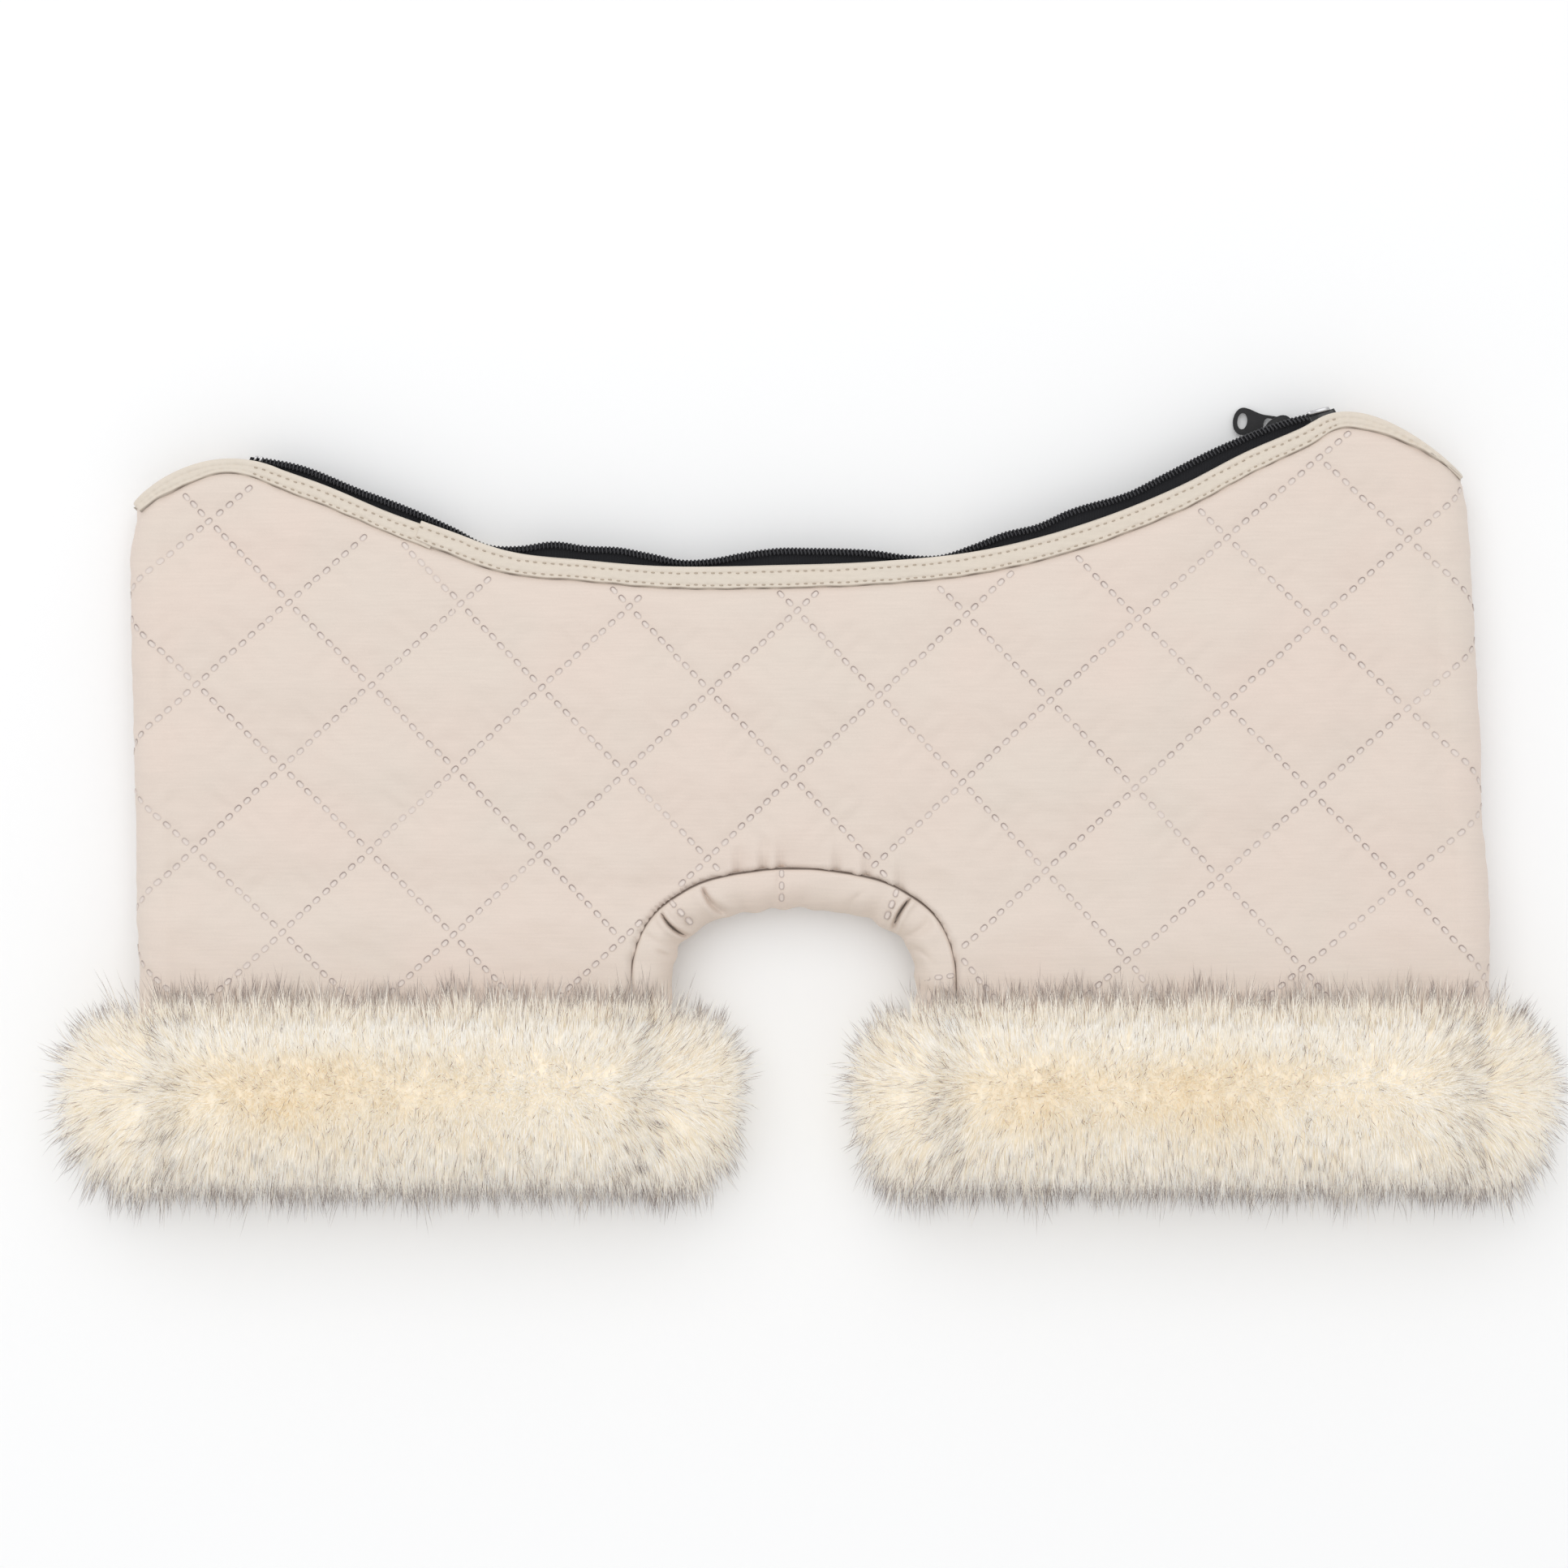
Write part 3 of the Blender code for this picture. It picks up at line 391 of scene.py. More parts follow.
def wrap(s, y, depth, lift, face):
    """Roll a flat sheet round the body: straight to the fold, then a quarter circle.

    s runs round the girth from the middle; depth lies inward and lift outward.
    """
    side = np.where(s < 0.0, -1.0, 1.0)
    flat, radius = fold_places(side, y)
    angle = np.clip((np.abs(s) - flat) / radius, 0.0, math.pi / 2)
    reach = np.minimum(np.abs(s), flat) + (radius - depth + lift) * np.sin(angle)
    x = centre_x(y) + side * reach
    low, high = low_level(x, y), high_level(x, y)
    height = ((high - low) / 2 - depth + lift) * np.cos(angle)
    return np.stack((x, y, (low + high) / 2 + face * height), axis=-1)


def to_lattice(s, y):
    """Places counted in cells along the two families of channels."""
    powers = [(s ** p * y ** q, one, other) for p, q, one, other in channel_terms]
    return sum(value * one for value, one, _ in powers), sum(value * other for value, _, other in powers)


def from_lattice(u, v):
    """The way back: the place on the sheet of a count in cells, found by repeated correction."""
    slopes = np.array([[channel_terms[4][2], channel_terms[1][2]],
                       [channel_terms[4][3], channel_terms[1][3]]])
    back = np.linalg.inv(slopes)
    s, y = 0.0 * u, 0.0 * v
    for _ in range(25):
        now_u, now_v = to_lattice(s, y)
        s = np.clip(s + back[0, 0] * (u - now_u) + back[0, 1] * (v - now_v), -0.35, 0.35)
        y = np.clip(y + back[1, 0] * (u - now_u) + back[1, 1] * (v - now_v), -0.25, 0.25)
    return s, y


def fold_drop(x, y):
    """How far the side fold has already fallen at a place seen from above."""
    off = x - centre_x(y)
    flat, radius = fold_places(np.sign(off), y)
    past = np.clip((np.abs(off) - flat) / radius, 0.0, 0.995)
    return radius * (1.0 - np.sqrt(1.0 - past * past))


def blown_quilt():
    """The height of a slack sheet, held along its channels and blown up: a cloth simulation.

    The sheet is a grid laid along the channels. Its height comes back as a table over that grid,
    scaled so that the crowns stand puff_seen high.
    """
    step = channel_pitch / steps_in_cell
    number = np.arange(-quilt_cells * steps_in_cell, quilt_cells * steps_in_cell + 1)
    u, v = np.meshgrid(number, number, indexing="ij")
    pinned = (u % steps_in_cell == 0) | (v % steps_in_cell == 0)
    s, y = from_lattice(u / steps_in_cell, v / steps_in_cell)
    wanted = (np.abs(s) < 0.290) & (y > -0.085) & (y < 0.165)
    index = np.full(u.shape, -1)
    index[wanted] = np.arange(wanted.sum())
    quads = np.stack((index[:-1, :-1], index[1:, :-1], index[1:, 1:], index[:-1, 1:]), axis=-1)
    quads = quads.reshape(-1, 4)
    quads = quads[(quads >= 0).all(axis=1)]
    mesh = bpy.data.meshes.new("slack_sheet")
    start = np.column_stack((u[wanted] * step, v[wanted] * step, 0.0 * u[wanted]))
    mesh.from_pydata(start.tolist(), [], quads.tolist())
    sheet = new_object("slack_sheet", mesh)
    held = sheet.vertex_groups.new(name="channels")
    held.add(np.flatnonzero(pinned[wanted]).tolist(), 1.0, "REPLACE")
    cloth = sheet.modifiers.new("cloth", "CLOTH")
    for setting, value in (("quality", 6), ("mass", 0.15), ("tension_stiffness", 15.0),
                           ("compression_stiffness", 15.0), ("bending_stiffness", 0.5),
                           ("shrink_min", -slack_share), ("vertex_group_mass", "channels"),
                           ("use_pressure", True), ("uniform_pressure_force", blow_pressure)):
        setattr(cloth.settings, setting, value)
    cloth.settings.effector_weights.gravity = 0.0
    cloth.collision_settings.use_collision = False
    for number in range(1, blow_frames + 1):
        bpy.context.scene.frame_set(number)
    blown = sheet.evaluated_get(bpy.context.evaluated_depsgraph_get())
    places = np.empty(len(start) * 3, np.float32)
    blown.data.vertices.foreach_get("co", places)
    height = np.zeros(u.shape)
    height[wanted] = places.reshape(-1, 3)[:, 2]
    bpy.context.scene.frame_set(1)
    bpy.data.objects.remove(sheet)
    return height * puff_seen / np.percentile(height[wanted], 95)


quilt_table = blown_quilt()


def table_height(u, v):
    """The quilt's height between the places of its table, by cubic pieces both ways."""
    middle = quilt_table.shape[0] // 2
    a = np.clip(u * steps_in_cell + middle, 1.0, len(quilt_table) - 3.001)
    b = np.clip(v * steps_in_cell + middle, 1.0, len(quilt_table) - 3.001)
    i, j = np.floor(a).astype(int), np.floor(b).astype(int)
    ta, tb = a - i, b - j
    parts = []
    for t in (ta, tb):
        parts.append((-0.5 * t + t * t - 0.5 * t ** 3, 1 - 2.5 * t * t + 1.5 * t ** 3,
                      0.5 * t + 2 * t * t - 1.5 * t ** 3, -0.5 * t * t + 0.5 * t ** 3))
    total = 0.0
    for p in range(4):
        for q in range(4):
            total = total + parts[0][p] * parts[1][q] * quilt_table[i + p - 1, j + q - 1]
    return total


def cloth_lift(s, y, face):
    """How far the cloth stands off its channels' level, seams and gathers included."""
    x = centre_x(y) + s
    edge = from_edge(x, y, face) - through(shown_x, binding_shown, x)
    seam = arch_distance(x, y)
    fade = smooth_step(edge / puff_fade) * smooth_step(seam / puff_fade)
    fade = fade * smooth_step((y - cuff_hem_y) / puff_fade)
    flat, radius = fold_places(np.sign(s), y)
    fade = fade * (1.0 - fold_calm * smooth_step((np.abs(s) - flat + 0.012) / (0.012 + 1.2 * radius)))
    lift = table_height(*to_lattice(s, y)) * fade
    lift = lift + broad_wave * waves(5, 8, 0.085, s, y) * smooth_step(edge / wave_fade)
    lift = lift + small_wave * waves(6, 9, 0.030, s, 1.6 * y) * smooth_step(edge / wave_fade)
    flat_share = 1.0 - smooth_step((np.abs(s) - flat + 0.004) / (0.5 * radius))
    lift = lift + fold_swell * (1.0 - flat_share) * smooth_step((edge - 0.0015) / 0.008)
    bound = 1.0 - smooth_step((edge + 0.0006) / 0.0024)
    lift = lift - under_binding * (0.45 + 0.55 * flat_share) * bound
    lift = lift + beside_binding * flat_share * bell((edge - 0.0055) / 0.0040)
    near_seam = np.exp(-np.maximum(seam, 0.0) / gather_reach) * (y > arch_top_y - 0.020)
    for place in seam_gathers:
        lift = lift + gather_ridge * near_seam * bell((x - place - 0.2 * seam) / 0.0024)
        lift = lift - gather_dip * near_seam * bell((x - place - 0.0034) / 0.0016)
    return lift - seam_groove * (1.0 - smooth_step((seam + 0.0001) / 0.0011))


def walled(outer, inner, quads):
    """Close a sheet: its outer face, its inner face turned round, and the rim between them."""
    sides = np.concatenate([quads[:, (k, (k + 1) % 4)] for k in range(4)])
    keys = np.sort(sides, axis=1).astype(np.int64)
    _, back, counts = np.unique(keys[:, 0] * len(outer) + keys[:, 1],
                                return_inverse=True, return_counts=True)
    rim = sides[counts[back] == 1]
    count = len(outer)
    rims = np.column_stack((rim[:, 1], rim[:, 0], rim[:, 0] + count, rim[:, 1] + count))
    faces = np.concatenate((quads, quads[:, ::-1] + count, rims))
    used, places = np.unique(faces, return_inverse=True)
    return np.concatenate((outer, inner))[used], places.reshape(faces.shape)


def new_piece(name, points, faces, finish, replaced=(), body="muff"):
    """A smooth mesh of points and arrays of faces, riding on a body, in place of CAD nodes."""
    faces = faces if isinstance(faces, list) else [faces]
    mesh = bpy.data.meshes.new(name)
    mesh.vertices.add(len(points))
    mesh.vertices.foreach_set("co", np.asarray(points, np.float32).ravel())
    sizes = np.concatenate([np.full(len(f), f.shape[1]) for f in faces])
    corner = np.concatenate([f.ravel() for f in faces])
    mesh.loops.add(len(corner))
    mesh.loops.foreach_set("vertex_index", corner.astype(np.int32))
    mesh.polygons.add(len(sizes))
    mesh.polygons.foreach_set("loop_start", (np.cumsum(sizes) - sizes).astype(np.int32))
    mesh.update(calc_edges=True)
    mesh.shade_smooth()
    mesh.materials.append(finish)
    piece = new_object(name, mesh)
    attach(piece, body)
    if replaced:
        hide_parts(*replaced)
    return piece


def panel_grid(columns, rows, inset, face):
    """Girth and y of a panel's points, closest at the folds and the middle, where it is creased."""
    share = np.linspace(-1.0, 1.0, columns)
    share = share - 0.35 * np.sin(2 * math.pi * share) / (2 * math.pi)
    line = mouth_lines[face] + inset * inward_of(mouth_lines[face])
    top = np.full(columns, corner_level_y)
    for _ in range(8):
        flat, radius = fold_places(np.sign(share), top)
        x = wrap(share * (flat + radius * math.pi / 2), top, 0.0, 0.0, face)[:, 0]
        top = 0.5 * top + 0.5 * np.interp(x, line[:, 0], line[:, 1])
    y = top[:, None] + (leg_end_y - top[:, None]) * np.linspace(0.0, 1.0, rows)
    flat, radius = fold_places(np.sign(share)[:, None] + 0 * y, y)
    first = (np.arange(columns - 1)[:, None] * rows + np.arange(rows - 1)).ravel()
    quads = np.column_stack((first, first + 1, first + rows + 1, first + rows))
    return share[:, None] * (flat + radius * math.pi / 2), y, quads if face == FRONT else quads[:, ::-1]


def cut_to_arch(s, y, margin, quads):
    """Drop the faces inside the arch and bring their last points onto its line."""
    s, y = s.ravel(), y.ravel()
    far = arch_distance(centre_x(y) + s, y) + margin
    step = 1e-5
    slope_x = (arch_distance(centre_x(y) + s + step, y) + margin - far) / step
    slope_y = (arch_distance(centre_x(y) + s, y + step) + margin - far) / step
    near = np.where(far < 0.0, -far, 0.0)
    return s + near * slope_x, y + near * slope_y, quads[(far[quads] > 0.0).any(axis=1)]


def quilted_panel(face, columns, rows):
    """One panel: channels and puffs outside, an even wall inside, pressed flat where it lies."""
    inset = 0.38 * through(shown_x, binding_shown, mouth_lines[face][:, :1])
    s, y, quads = panel_grid(columns, rows, inset, face)
    s, y, quads = cut_to_arch(s, y, 0.0010, quads)
    outer = wrap(s, y, 0.0, cloth_lift(s, y, face), face)
    inner = wrap(s, y, panel_wall, 0.0, face)
    outer[:, 2] = np.maximum(outer[:, 2], 0.0)
    return walled(outer, inner, quads)


def woven(name, colour, warm, cool, thread, depth):
    """Matt woven cloth: fine crossed threads in relief, slubs along them and soft broad tints.

    A point attribute darkens it with painted shade where it turns down into a seam.
    """
    finish, shader, wire = new_finish(name, colour, {
        "Roughness": 0.85, "Sheen Weight": 0.10, "Sheen Roughness": 0.5,
        "Specular IOR Level": 0.25})
    place = wire.new("TexCoord", {}, {}, 3)
    x = wire.new("SeparateXYZ", {}, {0: place})
    y = x.output(1)
    turn = 2 * math.pi / thread
    threads = (x * turn).maths("SINE", x * turn) * (y * turn).maths("SINE", y * turn)
    slubs = wire.new("Mapping", {}, {0: place, "Scale": (70.0, 1100.0, 70.0)})
    streaks = wire.new("TexNoise", {}, {"Vector": slubs, "Scale": 1.0, "Detail": 2.0})
    tint = ((wire.noise(24.0) - 0.5) * 2.4 + 0.5).clamped().mix(warm, cool)
    shade = (streaks - 0.5) * 0.9 + (wire.noise(1600.0, 1.0) - 0.5) * 0.6 + 0.5
    darker = tuple(0.90 * c for c in colour)
    lighter = tuple(min(1.08 * c, 1.0) for c in colour)
    cloth = shade.clamped().mix(darker, lighter)
    even = wire.new("Mix", {"data_type": "RGBA"}, {0: 0.5, 6: tint, 7: cloth}, 2)
    height = threads * 0.5 + (streaks - 0.5) * 1.6
    # Painted shade: the seam attribute mixes the cloth towards dark brown where it turns into a seam or
    # crease.
    feed(shader, Base_Color=wire.attribute("painted_seam_shade").mix(even, (0.115, 0.080, 0.062)),
         Normal=height.bump(depth, 0.6))
    return finish


quilt_cloth = woven("quilted_cloth", (0.765, 0.664, 0.590), (0.790, 0.662, 0.588),
                    (0.752, 0.672, 0.598), 0.00045, 0.00006)
for face, side, columns, rows in ((FRONT, "front", 336, 160), (BACK, "back", 232, 122)):
    panel_points, panel_faces = quilted_panel(face, columns, rows)
    panel = new_piece(side + "_panel", panel_points, panel_faces, quilt_cloth,
                      ["quilted_" + side])


# Weld marks. The channels aren't sewn: each is a row of short oval marks where the
# cloth is melted to the wadding, with a raised rim round a smooth pit.

marks_in_cell = 10
mark_length = 0.0034
mark_width = 0.0022
mark_sunk = 0.00040
mark_raised = 0.00018
mark_from_binding = 0.0016
mark_from_arch = 0.0022
mark_past_hem = 0.0300
mark_outline_shares = ((1.0, 0.0), (0.86, 0.66), (0.45, 1.0), (-0.45, 1.0), (-0.86, 0.66),
                       (-1.0, 0.0), (-0.86, -0.66), (-0.45, -1.0), (0.45, -1.0), (0.86, -0.66))


def mark_shape():
    """An oval in four rings, from its sunk edge over the rim to the pit, closed by two faces.

    Also gives each ring's depth of painted shade: 1 on the rim, half of that at the edge, 0 in the pit.
    """
    oval = np.array(mark_outline_shares)
    sides = len(oval)
    rings, ring_shading = [], []
    for inset, height, painted_mark_shading in ((0.0, -mark_sunk, 0.5), (0.00010, mark_raised + 0.00006, 1.0),
                                (0.00040, mark_raised + 0.00012, 1.0), (0.00062, mark_raised, 0.0)):
        size = np.array((mark_length / 2 - inset, mark_width / 2 - inset))
        rings.append(np.column_stack((oval * size, np.full(sides, height))))
        ring_shading.append(np.full(sides, painted_mark_shading))
    first = np.arange(sides)
    after = (first + 1) % sides
    quads = np.concatenate([np.column_stack((first, after, after + sides, first + sides)) + k * sides
                            for k in range(3)])
    faces = [quads, (first + 3 * sides)[None, :], first[::-1][None, :]]
    return np.concatenate(rings), faces, np.concatenate(ring_shading)


def repeated(points, faces, copies):
    """Face arrays for that many copies of one small shape."""
    offset = np.arange(copies)[:, None, None] * len(points)
    return [(f[None] + offset).reshape(-1, f.shape[1]) for f in faces]


def laid_marks(middles, ways):
    """Mark points at flat places, each turned so that its length lies along its way."""
    points = mark_shape()[0]
    across = np.column_stack((-ways[:, 1], ways[:, 0]))
    flat = (middles[:, None, :] + points[None, :, :1] * ways[:, None, :]
            + points[None, :, 1:2] * across[:, None, :])
    return flat, np.broadcast_to(points[:, 2], flat.shape[:2])


def tell_points(piece, name, values):
    """Give every point of a piece a number, which its material reads by that name."""
    attribute = piece.data.attributes.new(name, "FLOAT", "POINT")
    attribute.data.foreach_set("value", values.astype(np.float32).ravel())


def mark_piece(name, shape, lamp_side_shade, turned):
    """One object of many marks; painted shade darkens the rim, most on the side that faces the light."""
    points, faces, painted_mark_shading = mark_shape()
    copies = len(shape) // len(points)
    all_faces = repeated(points, faces, copies)
    if turned:
        all_faces = [f[:, ::-1] for f in all_faces]
    piece = new_piece(name, shape, all_faces, weld_finish)
    tell_points(piece, "painted_mark_shading", np.clip(0.10 + np.tile(painted_mark_shading, copies) * lamp_side_shade, 0.0, 1.0))


def weld_marks(name, face):
    """Marks along both families of channels, kept inside the panel and carried round the folds."""
    across, along = (a.ravel() for a in np.meshgrid(np.arange(-8.0, 9.0),
                                                    np.arange(-80, 81) / marks_in_cell))
    second = np.abs(along - np.round(along)) > 0.5 / marks_in_cell
    source = np.random.default_rng(11)
    across = across + source.normal(0.0, 0.0025, across.shape)
    along = along + source.normal(0.0, 0.0030, along.shape)
    middles, ways = [], []
    for u, v, step_u, step_v in ((across, along, 0.0, 0.02), (along[second], across[second], 0.02, 0.0)):
        s, y = from_lattice(u, v)
        next_s, next_y = from_lattice(u + step_u, v + step_v)
        way = np.column_stack((next_s - s, next_y - y))
        way = way / np.maximum(np.linalg.norm(way, axis=1, keepdims=True), 1e-9)
        x = centre_x(y) + s
        flat, radius = fold_places(np.sign(s), y)
        inside = np.abs(s) < flat + radius * math.pi / 2 - mark_length / 3
        inside &= from_edge(x, y, face) > through(shown_x, binding_shown, x) + mark_from_binding
        inside &= (arch_distance(x, y) > mark_from_arch) & (y > cuff_hem_y - mark_past_hem)
        inside &= (y < 0.17) & (np.abs(s) < 0.3)
        middles.append(np.column_stack((s, y))[inside])
        ways.append(way[inside])
    middles, ways = np.concatenate(middles), np.concatenate(ways)
    flat, height = laid_marks(middles, ways)
    s, y = flat[..., 0].ravel(), flat[..., 1].ravel()
    shape = wrap(s, y, 0.0, cloth_lift(s, y, face) + height.ravel(), face)
    shape[:, 2] = np.maximum(shape[:, 2], 0.0)
    off = flat - middles[:, None, :]
    # Painted shade: each mark's rim is darker on the side towards the lamp, and the marks vary broadly and
    # at random.
    lamp_side_shade = 0.62 + 0.50 * (off[..., 1] - 0.2 * off[..., 0]) / (mark_width / 2)
    broad = 0.24 * waves(71 + face, 9, 0.10, *middles.T)
    strength = np.clip(0.52 + 0.34 * source.uniform(size=len(middles)) + broad, 0.15, 1.0)
    mark_piece(name, shape, (lamp_side_shade * strength[:, None]).ravel(), face == BACK)


# The marks run from a painted highlight in the pit to painted shade on the rim.
weld_finish, weld_shader, weld_wire = new_finish("melted_marks", (0.70, 0.62, 0.57), {
    "Roughness": 0.5, "Specular IOR Level": 0.35})
feed(weld_shader,
     Base_Color=weld_wire.attribute("painted_mark_shading").mix((0.80, 0.710, 0.652), (0.35, 0.280, 0.255)))
weld_marks("weld_marks_front", FRONT)
weld_marks("weld_marks_back", BACK)


# Fleece lining. A brushed off-white fleece lies inside each panel, held between the same
# seams, so that it lines the hollow from the mouth to the cuffs.

lining_depth = 0.0043
lining_thickness = 0.0020
fleece, fleece_shader, fleece_wire = new_finish("brushed_fleece", (0.86, 0.82, 0.75), {
    "Roughness": 0.95, "Sheen Weight": 0.4, "Sheen Roughness": 0.6, "Specular IOR Level": 0.1})
nap = fleece_wire.noise(420.0, 3.0)
clumps = fleece_wire.noise(90.0)
fleece_tint = ((clumps - 0.5) * 2.0 + 0.5).clamped()
feed(fleece_shader, Base_Color=fleece_tint.mix((0.80, 0.75, 0.68), (0.90, 0.86, 0.80)),
     Normal=(nap + clumps).bump(0.0008, 0.8))


def lining(face, columns=130, rows=70):
    """A sheet of even thickness inside a panel, with slight waves; its cut's size and area too."""
    s, y, quads = panel_grid(columns, rows, binding_width + 0.001, face)
    s, y, quads = cut_to_arch(s, y, -0.001, quads)
    ripple = waves(21 if face == FRONT else 22, 7, 0.045, s, y) * 0.0005
    outer = wrap(s, y, lining_depth + ripple, 0.0, face)
    inner = wrap(s, y, lining_depth + lining_thickness + ripple, 0.0, face)
    used = np.unique(quads)
    one, other = s[quads[:, 2]] - s[quads[:, 0]], s[quads[:, 3]] - s[quads[:, 1]]
    area = np.abs(one * (y[quads[:, 3]] - y[quads[:, 1]]) - other * (y[quads[:, 2]] - y[quads[:, 0]]))
    flat = (float(np.ptp(s[used])), float(np.ptp(y[used])))
    return (*walled(outer, inner, quads), flat, float(area.sum()) / 2)


for face, side in ((FRONT, "front"), (BACK, "back")):
    lining_points, lining_faces, cut_size, cut_area = lining(face)
    piece = new_piece("fleece_" + side, lining_points, lining_faces, fleece,
                      ["lining_" + side])


# Binding. A strip of plain cloth is folded over the raw mouth edge and topstitched
# twice; the front strip is in two pieces, the right one lapped over the left.

binding_wall = 0.0043
lap_x = -0.1455
stitch_pitch = 0.0032
stitch_length = 0.0016
stitch_thickness = 0.00027
stitch_row_outer = 0.0026
stitch_row_inner = 0.0018
stitched_x = (-0.212, 0.205)
edge_wave = 0.00013
back_binding_shown = 0.0088
edge_width = 0.0020
hem_width = 0.0009
hem_drop = 0.00105
stitch_dip = 0.00048
stitch_swell = 0.00010
strip_ripple = 0.00012
# Where the strips lap: how long, how far each is shifted inward there, how far the upper one is
# raised, and how far from the lap both die away.
lap_length = 0.0065
lap_shift_left = 0.0008
lap_shift_right = -0.0007
lap_raised = 0.0008
lap_shift_fade = 0.015
lap_raised_fade = 0.010
# The points across a strip that turn down at its inner hem, and how much painted shade each gets.
hem_points = slice(25, 30)
hem_painted_shade = (0.15, 0.55, 0.8, 0.8, 0.8)
binding_cloth = woven("binding_cloth", (0.735, 0.662, 0.572), (0.750, 0.662, 0.565),
                      (0.725, 0.662, 0.580), 0.0004, 0.00004)
# The thread is darker than the binding: partly its own colour, partly painted shade of the dimples it lies
# in.
thread_finish, thread_shader, thread_wire = new_finish("sewing_thread", (0.48, 0.40, 0.32), {
    "Roughness": 0.6, "Specular IOR Level": 0.3})
feed(thread_shader, Base_Color=thread_wire.noise(900.0).mix((0.42, 0.34, 0.27), (0.54, 0.46, 0.37)))


def ring_tube(name, rings, finish, replaced=(), turned=False, body="muff"):
    """A closed tube from rings of points, with a face over each end."""
    count, sides = rings.shape[:2]
    base = (np.arange(count - 1) * sides)[:, None] + np.arange(sides)
    after = (np.arange(count - 1) * sides)[:, None] + (np.arange(sides) + 1) % sides
    quads = np.stack((base, after, after + sides, base + sides), axis=-1).reshape(-1, 4)
    start = np.arange(sides)[::-1][None, :]
    end = (np.arange(sides) + (count - 1) * sides)[None, :]
    faces = [quads, start, end]
    if turned:
        faces = [f[:, ::-1] for f in faces]
    return new_piece(name, rings.reshape(-1, 3), faces, finish, replaced, body)


def along_mouth(face, at):
    """Places, inward directions and the binding's width, at lengths along the mouth's edge."""
    line = mouth_lines[face]
    run = run_along(line)
    path = np.column_stack([np.interp(at, run, line[:, k]) for k in (0, 1)])
    inward = np.column_stack([np.interp(at, run, way) for way in inward_of(line).T])
    wide = through(shown_x, binding_shown, path[:, 0]) if face == FRONT else back_binding_shown + 0.0 * at
    return path, inward, wide


def mouth_level(path, face):
    return high_level(*path.T) if face == FRONT else low_level(*path.T)


def waved(wide, face, at):
    return wide + edge_wave * waves(31 + face, 7, 0.030, at)


def edge_round(w):
    """The share of its full height that a strip has near its folded outer edge."""
    return (1 - np.clip(1 - w / edge_width, 0.0, 1.0) ** 2.6) ** 0.42


def binding_top(face, at, w, wide):
    """Height of the strip's outer face over its middle, at a distance w from its outer edge."""
    half = binding_wall / 2
    hem = w - (wide - hem_width)
    up = half * edge_round(w)
    up = up - hem_drop * smooth_step(hem / 0.00028) - half * np.clip(hem / 0.0011, 0.0, 1.0) ** 5
    rows = (stitch_row_outer + 0.0 * wide, wide - stitch_row_inner)
    stitched = smooth_step((np.minimum(w, wide - w) - 0.0008) / 0.0006)
    dimple = 0.30 + 0.70 * np.cos(math.pi * at / stitch_pitch) ** 2
    dip = sum(bell((w - row) / 0.00055) for row in rows)
    swell = 0.0
    for place, share in zip(rows, (0.35, -0.35)):
        beside = (w - place) / 0.0016
        swell = swell + bell(beside) * np.sin(2 * math.pi * at / stitch_pitch + share * beside)
    ripple = waves(41 + face, 9, 0.011, at + 0 * w, w * 1.5) * strip_ripple
    return up + stitched * (ripple + stitch_swell * swell - stitch_dip * dip * dimple)


def binding_strip(name, face, first, last, offset, raised, step, replaced):
    """A strip from one length of the mouth's edge to another.

    At a lapped end it is shifted inward by offset and stands up by raised; both die away from it.
    """
    at = np.arange(first, last, step)
    path, inward, wide = along_mouth(face, at)
    wide = waved(wide, face, at)[:, None]
    from_lap = (last - at if offset > 0 else at - first)[:, None]
    shift = offset * np.exp(-from_lap / lap_shift_fade)
    lift = raised * bell(from_lap / lap_raised_fade)
    share = np.linspace(0.0, 1.0, 19)
    edge = np.array((0.0, 0.00012, 0.0004, 0.0009, 0.0015))
    w = np.concatenate((edge[None, :] + 0 * wide, edge_width + share[None, :] * (wide - 0.0032),
                        wide - hem_width + np.array((0.0, 0.00014, 0.00028, 0.0007, 0.0010, 0.0011))),
                       axis=1)
    top = binding_top(face, at[:, None], w, wide)
    under = w[:, ::-3][:, 1:-1]
    bottom = -binding_wall / 2 * edge_round(under)
    middle = mouth_level(path, face)[:, None] - face * binding_wall / 2
    z = np.concatenate((middle + face * (top + lift), middle + face * bottom), axis=1)
    w = np.concatenate((w, under), axis=1) + shift
    x, y = (path[:, k, None] + inward[:, k, None] * w for k in (0, 1))
    past_fold = np.abs(x - centre_x(y)) - half_width(y)
    pushed = x + np.sign(x) * 0.4 * fold_swell * smooth_step((past_fold + 0.008) / 0.008)
    proud = 0.0008 * smooth_step((past_fold + 0.026) / 0.018)
    rings = np.stack((pushed, y, np.maximum(z - face * (fold_drop(x, y) - proud), 0.0008)), axis=-1)
    piece = ring_tube(name, rings, binding_cloth, replaced, face == FRONT)
    # Painted shade along the inner hem, a dark line where the strip turns down onto the panel.
    painted_seam_shade = np.zeros(rings.shape[:2])
    painted_seam_shade[:, hem_points] = np.outer(0.72 + 0.28 * waves(43 + face, 9, 0.022, at), hem_painted_shade)
    tell_points(piece, "painted_seam_shade", painted_seam_shade)


